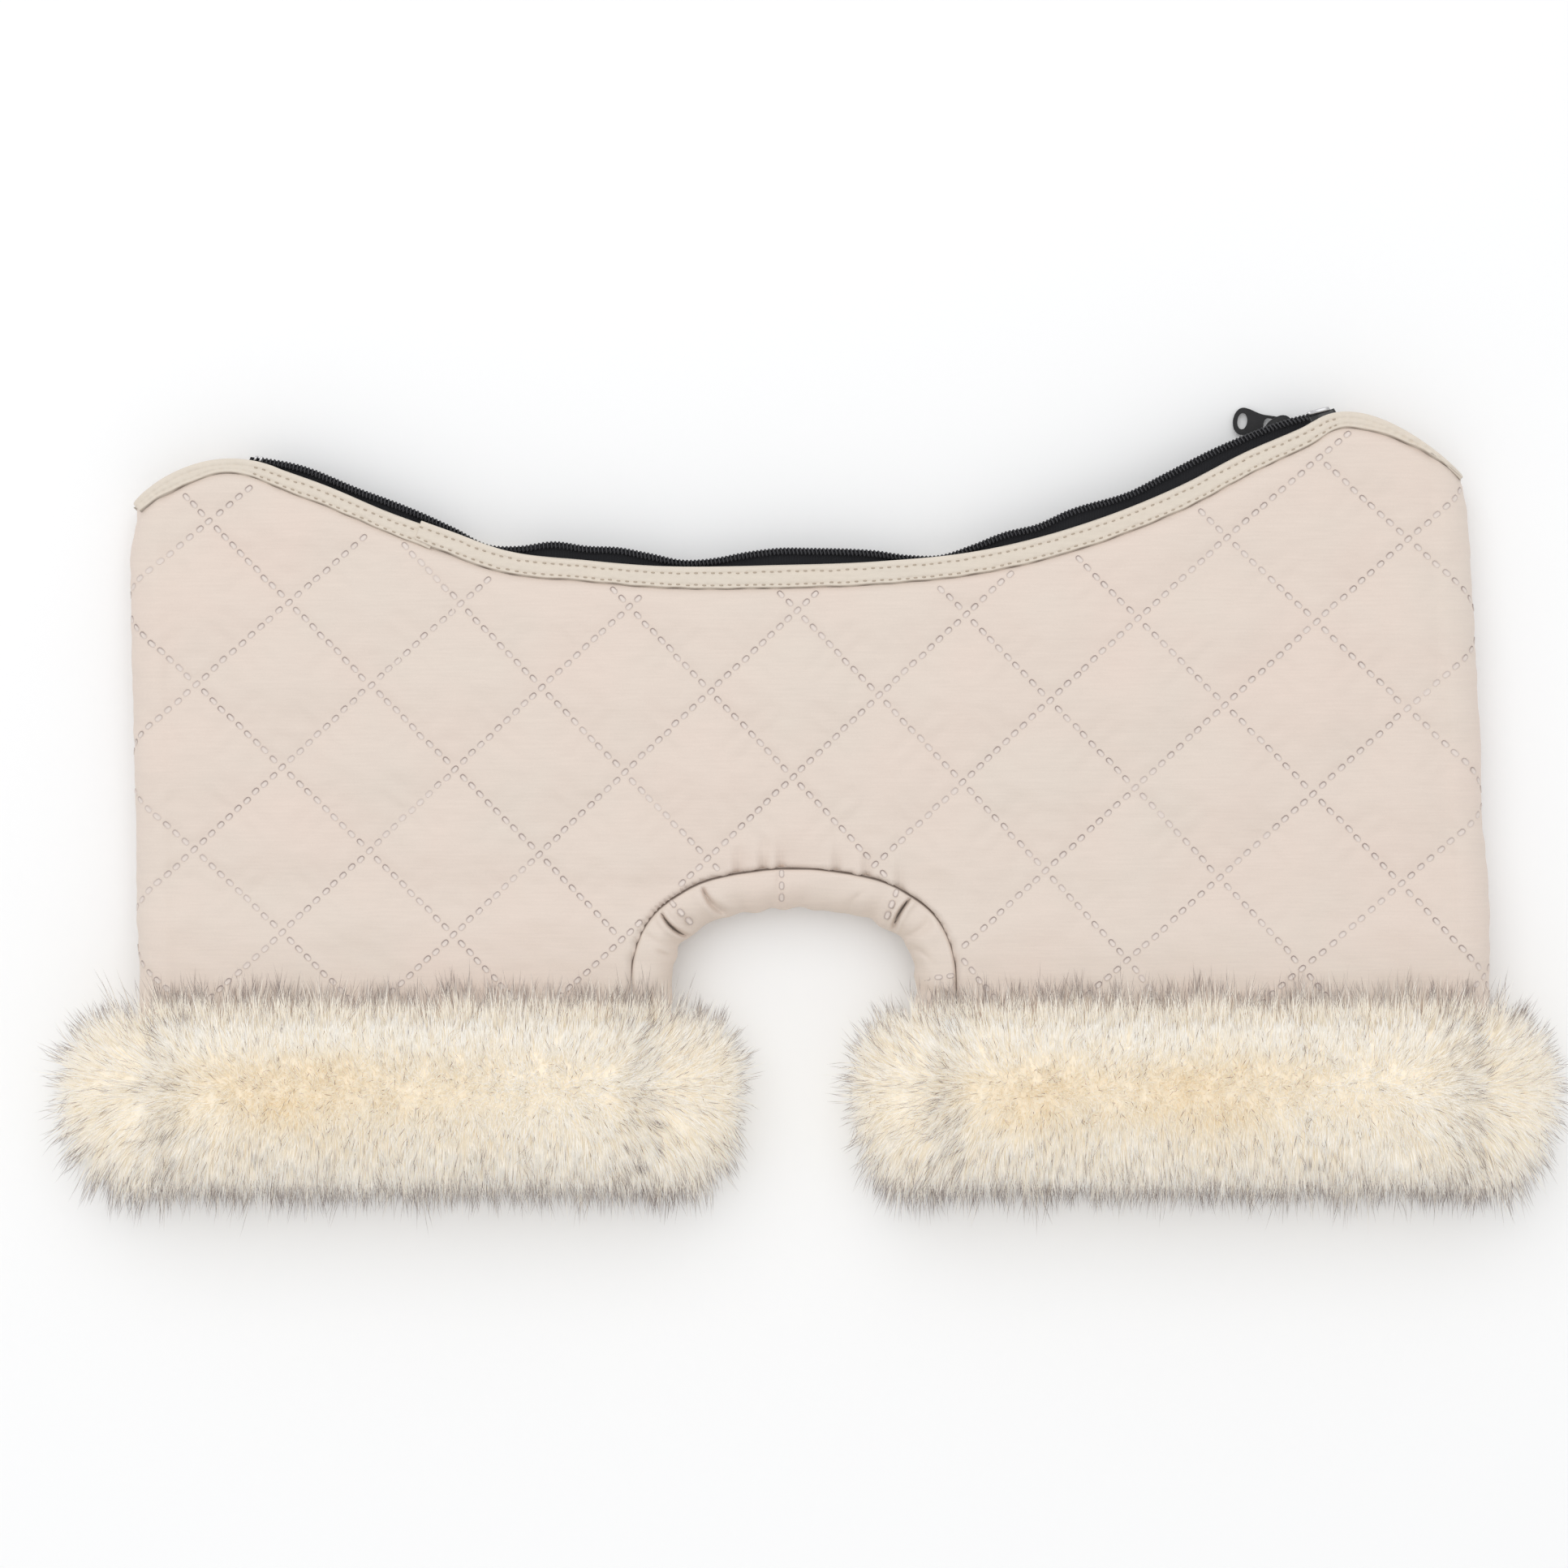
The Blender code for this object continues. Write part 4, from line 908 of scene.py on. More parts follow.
def stitches(name, face):
    """Thread lying in both rows of dimples: a short six-sided capsule for every stitch."""
    run = run_along(mouth_lines[face])
    limits = np.interp(stitched_x, mouth_lines[face][:, 0], run)
    at = np.arange(math.ceil(limits[0] / stitch_pitch), int(limits[1] / stitch_pitch)) + 0.5
    at = at * stitch_pitch
    source = np.random.default_rng(15)
    turn = np.radians(np.arange(0, 360, 60))
    along = np.array((-1.0, -0.8, 0.0, 0.8, 1.0)) * stitch_length / 2
    thick = np.tile(np.repeat(np.array((0.35, 0.85, 1.0, 0.85, 0.35)) * stitch_thickness, 6), len(at))
    bow = np.tile(np.repeat((-0.00020, 0.00008, 0.00024, 0.00008, -0.00020), 6), len(at))
    around = np.tile(turn, len(at) * 5)
    all_points = []
    for row in (0, 1):
        place = at + source.normal(0.0, 0.00012, len(at))
        here = place[:, None, None] + along[None, :, None] + 0.0 * turn
        path, inward, wide = along_mouth(face, here.ravel())
        middle_w = stitch_row_outer if row == 0 else wide - stitch_row_inner
        lean = np.repeat(source.normal(0.0, 0.00012, len(at)), 30)
        w = middle_w + lean + thick * np.cos(around)
        top = binding_top(face, here.ravel(), middle_w + 0 * w, waved(wide, face, here.ravel()))
        height = top + bow + thick * np.sin(around)
        past_lap = path[:, 0] - lap_x
        shift = np.where(past_lap > 0.0, lap_shift_right * np.exp(-past_lap / lap_shift_fade),
                         lap_shift_left * np.exp(past_lap / lap_shift_fade))
        lift = np.where(past_lap > 0.0, lap_raised * bell(past_lap / lap_raised_fade), 0.0)
        if face == BACK:
            shift, lift = 0.0, 0.0
        z = mouth_level(path, face) + face * (height + lift - binding_wall / 2)
        all_points.append(np.stack((path[:, 0] + inward[:, 0] * (w + shift),
                                    path[:, 1] + inward[:, 1] * (w + shift),
                                    np.maximum(z, 0.0)), axis=-1).reshape(-1, 30, 3))
    points = np.concatenate(all_points)
    side, after = np.arange(6), (np.arange(6) + 1) % 6
    quads = np.concatenate([np.column_stack((side, after, after + 6, side + 6)) + 6 * k
                            for k in range(4)])
    faces = repeated(points[0], [quads, side[::-1][None, :], side[None, :] + 24], len(points))
    if face == FRONT:
        faces = [f[:, ::-1] for f in faces]
    new_piece(name, points.reshape(-1, 3), faces, thread_finish)


front_run, back_run = run_along(mouth_lines[FRONT]), run_along(mouth_lines[BACK])
lap_at = np.interp(lap_x, mouth_lines[FRONT][:, 0], front_run)
binding_strip("binding_front_left_strip", FRONT, 0.0, lap_at + lap_length, lap_shift_left, 0.0, 0.0006,
              ["binding_front_left"])
binding_strip("binding_front_right_strip", FRONT, lap_at, front_run[-1], lap_shift_right, lap_raised,
              0.0006, ["binding_front_right"])
binding_strip("binding_back_strip", BACK, 0.0, back_run[-1], 0.0, 0.0, 0.0012, ["binding_back"])
stitches("binding_front_stitches", FRONT)
stitches("binding_back_stitches", BACK)


# Zip. Two black woven tapes each carry a nylon coil; the front one is sewn behind the
# binding a little slack, so that it waves in and out along the mouth.

tape_thickness = 0.0006
tape_hidden = 0.0055
coil_width = 0.0030
coil_height = 0.0024
coil_pitch = 0.0015
coil_wire = 0.00038
steps_in_turn = 12
tape_past_left = 0.0130
coil_past_left = 0.0084
front_coil_to_right = 0.0026
back_coil_to_right = 0.0068
film_past_right = 0.0079
sewing_gap = 0.0003
back_tape_low = mouth_rest_height + binding_wall + sewing_gap
front_tape_low = mouth_rest_height + mouth_thickness - binding_wall - sewing_gap - tape_thickness
front_coil_level = front_tape_low + tape_thickness + sewing_gap + coil_height / 2
# Places along the mouth, and how far the front teeth stand out from its arc there.
wave_x = (-0.2125, -0.2070, -0.1950, -0.1700, -0.1580, -0.1450, -0.1330, -0.1200, -0.1080, -0.0960,
          -0.0830, -0.0710, -0.0590, -0.0460, -0.0340, -0.0220, -0.0090, 0.0030, 0.0280, 0.0400,
          0.0520, 0.0650, 0.0770, 0.0900, 0.1020, 0.1270, 0.1390, 0.1640, 0.1885, 0.1959, 0.2023)
wave_out = (-0.0005, 0.0014, 0.0046, 0.0049, 0.0047, 0.0036, 0.0016, -0.0014, 0.0007, 0.0046,
            0.0050, 0.0060, 0.0050, 0.0035, 0.0047, 0.0071, 0.0085, 0.0080, 0.0050, 0.0019,
            0.0000, 0.0017, 0.0037, 0.0037, 0.0056, 0.0053, 0.0068, 0.0083, 0.0054, 0.0031, 0.0010)


def left_degrees(past):
    return mouth_left - math.degrees(past / mouth_radius)


def right_degrees(past):
    return mouth_right + math.degrees(past / mouth_radius)


def zip_line(degrees, face):
    """How far the teeth stand out from the mouth's arc, and the level of the coil's middle.

    Where the front tape waves in, its coil sinks below the binding; the back one stays hidden
    below the front one.
    """
    x = arc_point(mouth_radius, degrees)[0]
    out = through(wave_x, wave_out, x)
    if face == BACK:
        level = back_tape_low - sewing_gap - coil_height / 2
        return np.minimum(0.0040, out - 0.0008), np.full_like(degrees, level)
    proud = out + through(edge_x, edge_inset, x)
    return out, front_coil_level - smooth_step((0.0046 - proud) / 0.0022) * 0.0030


tape_finish, tape_shader, tape_wire = new_finish("woven_tape", (0.020, 0.020, 0.024), {
    "Roughness": 0.8, "Sheen Weight": 0.10, "Sheen Roughness": 0.4, "Specular IOR Level": 0.3})
tape_place = tape_wire.new("TexCoord", {}, {}, 3)
tape_ribs = tape_wire.new("TexWave", {}, {"Vector": tape_place, "Scale": 700.0, "Distortion": 0.4})
feed(tape_shader, Base_Color=tape_ribs.mix((0.008, 0.008, 0.010), (0.022, 0.023, 0.027)),
     Normal=(tape_ribs + tape_wire.noise(900.0) * 0.5).bump(0.0001, 0.7))
coil_finish, coil_shader, coil_sockets = new_finish("nylon_coil", (0.024, 0.024, 0.028), {
    "Roughness": 0.38, "Specular IOR Level": 0.5})
coil_noise = coil_sockets.noise(1200.0)
feed(coil_shader, Roughness=coil_noise * 0.20 + 0.20,
     Base_Color=coil_noise.mix((0.016, 0.016, 0.019), (0.034, 0.034, 0.040)))
film_finish, film_shader, film_wire = new_finish("laminated_end", (0.016, 0.016, 0.018), {
    "Roughness": 0.3, "Coat Weight": 0.4})
film_noise = film_wire.noise(800.0)
feed(film_shader, Roughness=film_noise * 0.2 + 0.25, Normal=film_noise.bump(0.00005, 0.5))


def zip_tape(name, face, first, last, finish, replaced):
    """A thin strip from under the binding to under the coil, stretched to the coil's wave."""
    degrees = np.linspace(first, last, max(int((last - first) / 0.12), 6))
    out, level = zip_line(degrees, face)
    edge = mouth_radius + (0.0 if face == FRONT else back_mouth_drop)
    sewn = edge + tape_hidden
    low = front_tape_low if face == FRONT else back_tape_low
    share = np.array((0.0, 0.12, 0.3, 0.45, 0.6, 0.75, 0.9, 1.0))
    radius = sewn + (mouth_radius - out + 0.0004 - sewn)[:, None] * share
    drop = 0.0
    if face == FRONT:
        drop = (front_coil_level - level)[:, None] * smooth_step((share - 0.2) / 0.5)
    x, y = arc_point(radius, degrees[:, None])
    weave = 0.00005 * np.sin(share * 40.0)
    top = np.stack((x, y, low + tape_thickness - drop + weave + 0 * x), axis=-1)
    bottom = np.stack((x, y, low - drop - weave + 0 * x), axis=-1)
    ring_tube(name, np.concatenate((top, bottom[:, ::-1]), axis=1), finish, replaced)


def round_rings(path, radius, sides):
    """Rings of points round a path, each square to it."""
    along = np.gradient(path, axis=0)
    along /= np.linalg.norm(along, axis=1, keepdims=True)
    first = np.cross(along, (0.0, 0.0, 1.0))
    size = np.linalg.norm(first, axis=1, keepdims=True)
    first = np.where(size > 1e-3, first / np.maximum(size, 1e-9), np.array((1.0, 0.0, 0.0)))
    second = np.cross(first, along)
    turn = np.linspace(0.0, 2 * math.pi, sides, endpoint=False)
    ring = (np.cos(turn)[None, :, None] * first[:, None, :]
            + np.sin(turn)[None, :, None] * second[:, None, :])
    return path[:, None, :] + radius[:, None, None] * ring


def bent(value, power):
    """A power that keeps its sign: sines bent by it trace a superellipse."""
    return np.sign(value) * np.abs(value) ** power


def zip_coil(name, face, first, last, replaced):
    """One nylon wire wound flat: a squared oval turn each pitch, thicker at the tooth's head."""
    turns = int(math.radians(last - first) * mouth_radius / coil_pitch)
    turn = np.arange(turns * steps_in_turn + 1) / steps_in_turn
    degrees = first + (last - first) * turn / turns
    out, level = zip_line(degrees, face)
    phase = 2 * math.pi * turn
    across, up = bent(np.cos(phase), 0.8), bent(np.sin(phase), 0.8)
    radius = mouth_radius - out + coil_width / 2 - across * (coil_width / 2 - coil_wire)
    x, y = arc_point(radius, degrees)
    path = np.column_stack((x, y, level + up * (coil_height / 2 - coil_wire)))
    thick = coil_wire * (1.0 + 0.28 * bell((1 - across) / 0.35))
    ring_tube(name, round_rings(path, thick, 6), coil_finish, replaced)


def pressed_bar(name, stretch, face, near, wide, low, high, finish, replaced):
    """A small bar with rounded edges that lies along the zip between two of its degrees.

    near is how far its outer side stands inside the teeth's line; low and high are its levels.
    """
    degrees = np.linspace(*stretch, 7)
    size = 1.0 - 0.25 * np.abs(np.linspace(-1.0, 1.0, 7)) ** 8
    turn = np.linspace(0.0, 2 * math.pi, 16, endpoint=False)
    across, up = bent(np.cos(turn), 0.5), bent(np.sin(turn), 0.5)
    out, level = zip_line(degrees, face)
    radius = (mouth_radius - out + near + wide / 2)[:, None] - wide / 2 * across * size[:, None]
    x, y = arc_point(radius, degrees[:, None])
    z = level[:, None] + (low + high) / 2 + (high - low) / 2 * up * size[:, None]
    ring_tube(name, np.stack((x, y, z), axis=-1), finish, replaced)


bright, bright_shader, bright_wire = new_finish("bright_metal", (0.62, 0.62, 0.63), {
    "Roughness": 0.35, "Metallic": 1.0})
bright_noise = bright_wire.noise(900.0, 3.0)
feed(bright_shader, Roughness=bright_noise * 0.3 + 0.2,
     Base_Color=bright_noise.mix((0.52, 0.52, 0.53), (0.70, 0.70, 0.71)))
zip_halves = (("front", FRONT, right_degrees(-front_coil_to_right)),
              ("back", BACK, right_degrees(-back_coil_to_right)))
for side, face, woven_end in zip_halves:
    zip_tape(side + "_tape", face, left_degrees(tape_past_left), woven_end, tape_finish,
             ["zip_tape_" + side])
for side, face, woven_end in zip_halves:
    zip_tape(side + "_film", face, woven_end, right_degrees(film_past_right), film_finish,
             ["zip_end_film_" + side])
for name, node, stretch, face, near, wide, low, high in (
        ("zip_stop_front", "zip_top_stop_front", (-25.42, -25.30), FRONT, -0.0004, 0.0024, -0.0013, 0.0013),
        ("zip_stop_back", "zip_top_stop_back", (-25.68, -25.56), FRONT, -0.0004, 0.0024, -0.0040, 0.0013),
        ("zip_pin_front", "zip_insertion_pin", (29.50, 30.60), FRONT, -0.0010, 0.0017, -0.0010, 0.0010),
        ("zip_pin_back", "zip_retainer_pin", (29.10, 30.45), BACK, 0.0002, 0.0016, -0.0009, 0.0009)):
    pressed_bar(name, stretch, face, near, wide, low, high, bright, [node])
for side, face, woven_end in zip_halves:
    zip_coil(side + "_coil", face, left_degrees(coil_past_left), woven_end, ["zip_coil_" + side])


# Arch roll. A padded roll of the same cloth closes the arch, sewn on over its seam, so
# that it puckers where it is drawn round the two corners.

# How much painted shade the roll's wall gets under the panel's edge, where the gathers leave gaps.
wall_painted_shade = 0.2
roll_depth = 0.0155
roll_height = 0.0240
roll_crown = 0.0032
roll_groove = 0.0030
roll_wave = 0.00045
groove_width = 0.0022
fold_bow = 0.0028
fold_end = 0.0022
crease_width = 0.00042
# Each fold or dent: its two ends, how deep it is and how wide.
roll_folds = (
    (-0.0528, -0.0411, -0.0454, -0.0476, 0.0052, 0.0008),
    (0.0402, -0.0340, 0.0346, -0.0436, 0.0050, 0.0008),
    (-0.0374, -0.0318, -0.0312, -0.0386, 0.0039, 0.0012),
    (-0.0535, -0.0547, -0.0464, -0.0556, 0.0016, 0.0018),
    (0.0195, -0.0334, 0.0185, -0.0383, 0.0011, 0.0020),
    (0.0399, -0.0476, 0.0470, -0.0433, 0.0015, 0.0018),
    (0.0439, -0.0535, 0.0400, -0.0545, 0.0020, 0.0022),
    (-0.0590, -0.0480, -0.0500, -0.0520, 0.0009, 0.0022),
    (-0.0090, -0.0230, -0.0082, -0.0360, 0.0008, 0.0016),
    (0.0540, -0.0700, 0.0440, -0.0690, 0.0008, 0.0020))
# The rows of marks across the roll: their two ends.
roll_mark_rows = ((-0.0083, -0.0229, -0.0083, -0.0352), (0.0355, -0.0303, 0.0312, -0.0417),
                  (-0.0504, -0.0346, -0.0423, -0.0433), (0.0454, -0.0640, 0.0562, -0.0627))


def arch_path(step):
    """The arch seam from the right leg over the top to the left leg, in even steps."""
    half, radius = arch_width / 2, arch_corner_radius
    turn = np.linspace(0.0, math.pi / 2, 60)
    x = arch_offset + half - radius + radius * np.cos(turn)
    y = arch_top_y - radius + radius * np.sin(turn) - arch_sag(x)
    top_x = np.linspace(arch_offset + half - radius, arch_offset, 40)[1:]
    x = np.concatenate(([arch_offset + half], x, top_x))
    y = np.concatenate(([leg_end_y], y, arch_top_y - arch_sag(top_x)))
    right = np.column_stack((x, y))
    left = right[-2::-1] * (-1, 1) + (2 * arch_offset, 0.0)
    line = np.concatenate((right, left))
    run = run_along(line)
    at = np.arange(0.0, run[-1], step)
    return np.column_stack([np.interp(at, run, line[:, k]) for k in (0, 1)]), at


def roll_top(x, y, depth):
    """Height of the roll over its middle at a depth inside the seam, and the painted shade of a deep fold's
    crease.
    """
    beyond = np.clip((depth - roll_crown) / (roll_depth - roll_crown), 0.0, 1.0)
    before = np.clip(1.0 - depth / groove_width, 0.0, 1.0)
    fold, crease_shade = 0.0, 0.0
    for x1, y1, x2, y2, deep, wide in roll_folds:
        long = math.hypot(x2 - x1, y2 - y1)
        along = ((x - x1) * (x2 - x1) + (y - y1) * (y2 - y1)) / long
        share = along / long
        off = ((y - y1) * (x2 - x1) - (x - x1) * (y2 - y1)) / long + fold_bow * (share - share ** 2)
        past = np.maximum(-along, 0.0) + np.maximum(along - long, 0.0)
        swollen = wide * (0.55 + 0.65 * np.clip(share, 0.0, 1.0))
        fold = fold + deep * np.exp(-(off / swollen) ** 2 - (past / fold_end) ** 2)
        fold = fold - 0.22 * deep * np.exp(-((np.abs(off) - 2.4 * wide) / (1.5 * wide)) ** 2
                                           - (past / 0.0040) ** 2)
        narrow = crease_width * np.sqrt(np.clip(4.0 * share * (1.0 - share), 0.04, 1.0))
        # Painted shade in the narrow crease of each deep fold.
        crease_shade = crease_shade + (deep > 0.004) * np.exp(-(off / narrow) ** 2 - (past / 0.0006) ** 2)
    soft = roll_wave * waves(61, 9, 0.034, x, y)
    full = roll_height / 2 * (1.0 - beyond ** 2.3) ** 0.62
    rest = np.clip(full / (roll_height / 2), 0.0, 1.0)
    fold = (fold - soft) * rest ** 0.5 * smooth_step(depth / 0.002)
    return full - roll_groove * before ** 2.6 - fold, np.clip(crease_shade, 0.0, 1.0)


def arch_roll():
    """Sections across the seam: a crown near it, a round fall to the hollow's edge, and the same below."""
    path, at = arch_path(0.0006)
    direction = np.gradient(path, axis=0)
    for _ in range(16):
        direction[1:-1] = (direction[:-2] + direction[1:-1] + direction[2:]) / 3
    direction /= np.linalg.norm(direction, axis=1, keepdims=True)
    inward = np.column_stack((-direction[:, 1], direction[:, 0]))
    fall = np.sin(np.linspace(0.0, math.pi / 2, 24))[1:]
    top = np.concatenate((np.linspace(-0.0006, roll_crown, 10),
                          roll_crown + (roll_depth - roll_crown) * fall))
    edge = 0.0005 * waves(63, 7, 0.030, at)[:, None]
    across = top[None, :] + edge * smooth_step(top / roll_depth)[None, :]
    x, y = (path[:, k, None] + inward[:, k, None] * across for k in (0, 1))
    rise, crease_shade = roll_top(x, y, top[None, :] + 0 * x)
    level = (low_level(*path.T) + high_level(*path.T))[:, None] / 2
    upper = np.stack((x, y, level + rise), axis=-1)
    lower = np.stack((x, y, np.maximum(level - rise, 0.0)), axis=-1)[:, -2::-1]
    rings = np.concatenate((upper, lower), axis=1)
    piece = ring_tube("padded_arch_roll", rings, quilt_cloth, ["arch_roll"], True)
    # Painted shade: dark in the seam's groove, on the wall below it and in the deep creases.
    groove_shade = np.clip(1.3 - np.maximum(top, 0.0) / 0.0005, 0.0, 1.0)
    groove_shade[0] = wall_painted_shade
    painted_seam_shade = np.maximum(groove_shade[None, :], crease_shade)
    tell_points(piece, "painted_seam_shade", np.concatenate((painted_seam_shade, painted_seam_shade[:, -2::-1]), axis=1))


def roll_marks():
    """Rows of melted marks that cross the roll where the sheet it was cut from had its channels."""
    middles, ways = [], []
    for x1, y1, x2, y2 in roll_mark_rows:
        way = np.array((x2 - x1, y2 - y1))
        long = np.linalg.norm(way)
        at = np.arange(0.0012, long, channel_pitch / marks_in_cell)[:, None]
        middles.append(np.array((x1, y1)) + at * way / long)
        ways.append(np.tile(way / long, (len(at), 1)))
    flat, height = laid_marks(np.concatenate(middles), np.concatenate(ways))
    x, y = flat[..., 0].ravel(), flat[..., 1].ravel()
    depth = -arch_distance(x, y)
    level = (low_level(x, y) + high_level(x, y)) / 2
    shape = np.column_stack((x, y, level + roll_top(x, y, depth)[0] + height.ravel() - 0.0001))
    # The roll's marks all get the same middling painted shade.
    mark_piece("weld_marks_roll", shape, np.full(len(x), 0.45), False)


arch_roll()
roll_marks()


# Fur cuffs. A band of long-pile fur is sewn round each leg end. Dense cream wool fans out
# from a crest, straw-coloured where it points at the eye; longer guard hairs have brown tips.

band_top_y = -0.0910
band_end_y = -0.1210
band_depth = 0.0016
fan_spread = 0.0130
fan_from = 0.0400
fan_blend = 0.0520
over_cloth = 0.0004
over_table = 0.0003
crest_y = -0.1060
wool_up = 0.0325
wool_down = 0.0405
under_reach = 1.13
wool_top = 0.0225
wool_sides_left = (0.0325, 0.0280)
wool_sides_right = (0.0270, 0.0250)
section_power = 0.8
core_share = 0.64
core_lump = 0.0010
wool_count = 11800
wool_width = 0.00056
guard_count = 11500
guard_width = 0.00031
tuft_pull = 0.42
guard_pull = 0.45
tuft_size = 0.0048
tip_colours = 4
# Painted light: the fur and underfur glow at this share of their colour, to fill the shade deep in the
# pile.
painted_fur_glow = 0.18

fur_finish, fur_shader, fur_wire = new_finish("cream_fur", (0.91, 0.86, 0.75), {
    "Roughness": 0.6, "Specular IOR Level": 0.2, "Sheen Weight": 0.2, "Sheen Roughness": 0.5})
code = fur_wire.new("SeparateXYZ", {}, {0: fur_wire.new("UVMap", {"uv_map": "OFBake"})})
up_hair = code.output(1)
shade = (code * tip_colours).maths("FLOOR", code * tip_colours)
straw = code * tip_colours - shade
root_colour = straw.mix((0.92, 0.87, 0.78), (0.86, 0.72, 0.50))
tip_colour = straw.mix((0.985, 0.965, 0.925), (0.95, 0.85, 0.67))
tip_share = ((up_hair - 0.50) / 0.30).clamped() * shade / (tip_colours - 1)
hair_colour = tip_share.mix(up_hair.mix(root_colour, tip_colour), (0.165, 0.105, 0.098))
# The hairs glow by their own colour: painted light that lifts the shade between them.
feed(fur_shader, Base_Color=hair_colour, Emission_Color=hair_colour)
fur_shader.inputs["Emission Strength"].default_value = painted_fur_glow


def leg_ring(left):
    """The middle, half flat width, fold radius and girth of a leg's hem."""
    side = -1 if left else 1
    inner = arch_offset + side * (arch_width / 2 - roll_depth)
    outer = centre_x(leg_end_y) + side * half_width(leg_end_y)
    radius = hem_thickness / 2
    flat = abs(outer - inner) / 2 - radius
    return (inner + outer) / 2, flat, radius, 4 * flat + 2 * math.pi * radius


def on_ring(a, middle, flat, radius, total):
    """A place round the hem: left over the front, down the left fold, right under the back."""
    a = np.mod(a, total)
    arc = math.pi * radius
    folds = np.clip(a - 2 * flat, 0.0, arc) + np.clip(a - 4 * flat - arc, 0.0, arc)
    angle = folds / radius
    nx, nz = -np.sin(angle), np.cos(angle)
    along = flat - np.clip(a, 0.0, 2 * flat) + np.clip(a - 2 * flat - arc, 0.0, 2 * flat)
    return middle + along + radius * nx, hem_rest_height + hem_thickness / 2 + radius * nz, nx, nz


def pile_curve(a, turn, share, reach, left, sway=0.0):
    """A place along the hair that is rooted at a round the hem and lies turn degrees from the mouth.

    Its tip is on a superellipse round the crest, reach times as far as the wool's; between, it
    follows a quadratic curve that stands up from the band first.
    """
    middle, flat, radius, total = leg_ring(left)
    x, z, nx, nz = on_ring(a, middle, flat, radius, total)
    angle = np.radians(turn)
    cos, sin = np.cos(angle), bent(np.sin(angle), section_power)
    root_y = band_top_y + (band_end_y - band_top_y) * np.clip(turn / 180.0, 0.0, 1.0)
    tip_y = crest_y + np.where(cos > 0, wool_up, wool_down * (1 + (under_reach - 1) * (nz < 0))) * cos
    outer = (x < middle) == left
    sides = wool_sides_left if left else wool_sides_right
    side = np.where(outer, sides[0], sides[1])
    top = np.where(nz > 0, wool_top, hem_rest_height - 0.0004)
    low = np.where(nz > 0, 0.0015, 0.0)
    out_x, out_z = nx * side * sin, nz * (top * np.maximum(sin, -0.35) + low)
    near_end = smooth_step((np.abs(x - middle) - flat + fan_from) / fan_blend)
    fan = np.sign(x - middle) * near_end * fan_spread * np.abs(sin) * (nz > 0) * (1 - np.abs(nx))
    root = np.stack((x, root_y + 0 * x, z), axis=-1)
    tip = np.stack((x + out_x + fan, tip_y + 0 * x, z + out_z), axis=-1)
    tip = root + (tip - root) * np.asarray(reach)[..., None] + sway
    rise = np.stack((0.75 * out_x, (tip_y - root_y) * 0.30 + 0 * x, 0.62 * nz * top * (nz > 0) + 0 * x),
                    axis=-1)
    t = np.asarray(share)[..., None]
    place = root * (1 - t) ** 2 + 2 * t * (1 - t) * (root + rise) + tip * t * t
    panel = (place[..., 1] > leg_end_y) & (place[..., 2] > 0.020)
    over = np.abs(place[..., 0] - middle) < flat + radius * 0.5
    floor = np.where(panel & over, hem_rest_height + hem_thickness + over_cloth, over_table)
    place[..., 2] = np.maximum(place[..., 2], floor)
    return place


def hair_piece(name, stations, width, straw, dark, source):
    """Tapered three-sided hairs through four stations; UV: tint and tip shade across, length up."""
    count = len(stations)
    along = stations[:, -1] - stations[:, 0]
    first = np.cross(along, source.normal(size=(count, 3)))
    first /= np.linalg.norm(first, axis=1, keepdims=True)
    second = np.cross(along, first)
    second /= np.linalg.norm(second, axis=1, keepdims=True)
    turn = np.radians((0.0, 120.0, 240.0))[None, :, None]
    ring = np.cos(turn) * first[:, None, :] + np.sin(turn) * second[:, None, :]
    thick = np.array((1.0, 0.95, 0.62))[:, None, None] * width / 2
    body = stations[:, :3, None, :] + thick * ring[:, None, :, :]
    body[..., 2] = np.maximum(body[..., 2], 0.0)
    points = np.concatenate((body.reshape(count, 9, 3), stations[:, 3:, :]), axis=1)
    quads = np.array([(k * 3 + j, k * 3 + (j + 1) % 3, (k + 1) * 3 + (j + 1) % 3, (k + 1) * 3 + j)
                      for k in (0, 1) for j in range(3)])
    tips = np.array([(6 + j, 6 + (j + 1) % 3, 9) for j in range(3)])
    faces = repeated(points[0], [quads, tips, np.array([(2, 1, 0)])], count)
    piece = new_piece(name, points.reshape(-1, 3), faces, fur_finish)
    column = (np.floor(np.clip(dark, 0, 0.999) * tip_colours) + 0.03 + 0.94 * np.clip(straw, 0, 1))
    nudge = np.append(np.tile((-1.0, 0.0, 1.0), 3), 0.0) * 0.006
    u = (column[:, None] + nudge) / tip_colours
    up = 0.01 + 0.98 * np.append(np.repeat((0.0, 1 / 3, 2 / 3), 3), 1.0)
    corner = np.concatenate([f.ravel() for f in faces])
    uv = np.column_stack((u.ravel()[corner], np.tile(up, count)[corner]))
    piece.data.uv_layers.new(name="OFBake").uv.foreach_set("vector", uv.astype(np.float32).ravel())


def straw_share(x, turn, patches, source):
    """How straw-coloured the wool is: patches along the crest, broken up, and a little everywhere."""
    share = 0.10 + 0.10 * waves(91, 6, 0.060, x, turn * 0.0008) - 0.12 * (turn < 55.0)
    for place, size, amount in patches:
        share = share + amount * np.exp(-((x - place) / size) ** 2 - ((turn - 92.0) / 34.0) ** 2)
    return np.clip(share + source.normal(0.0, 0.14, x.shape), 0.0, 1.0)


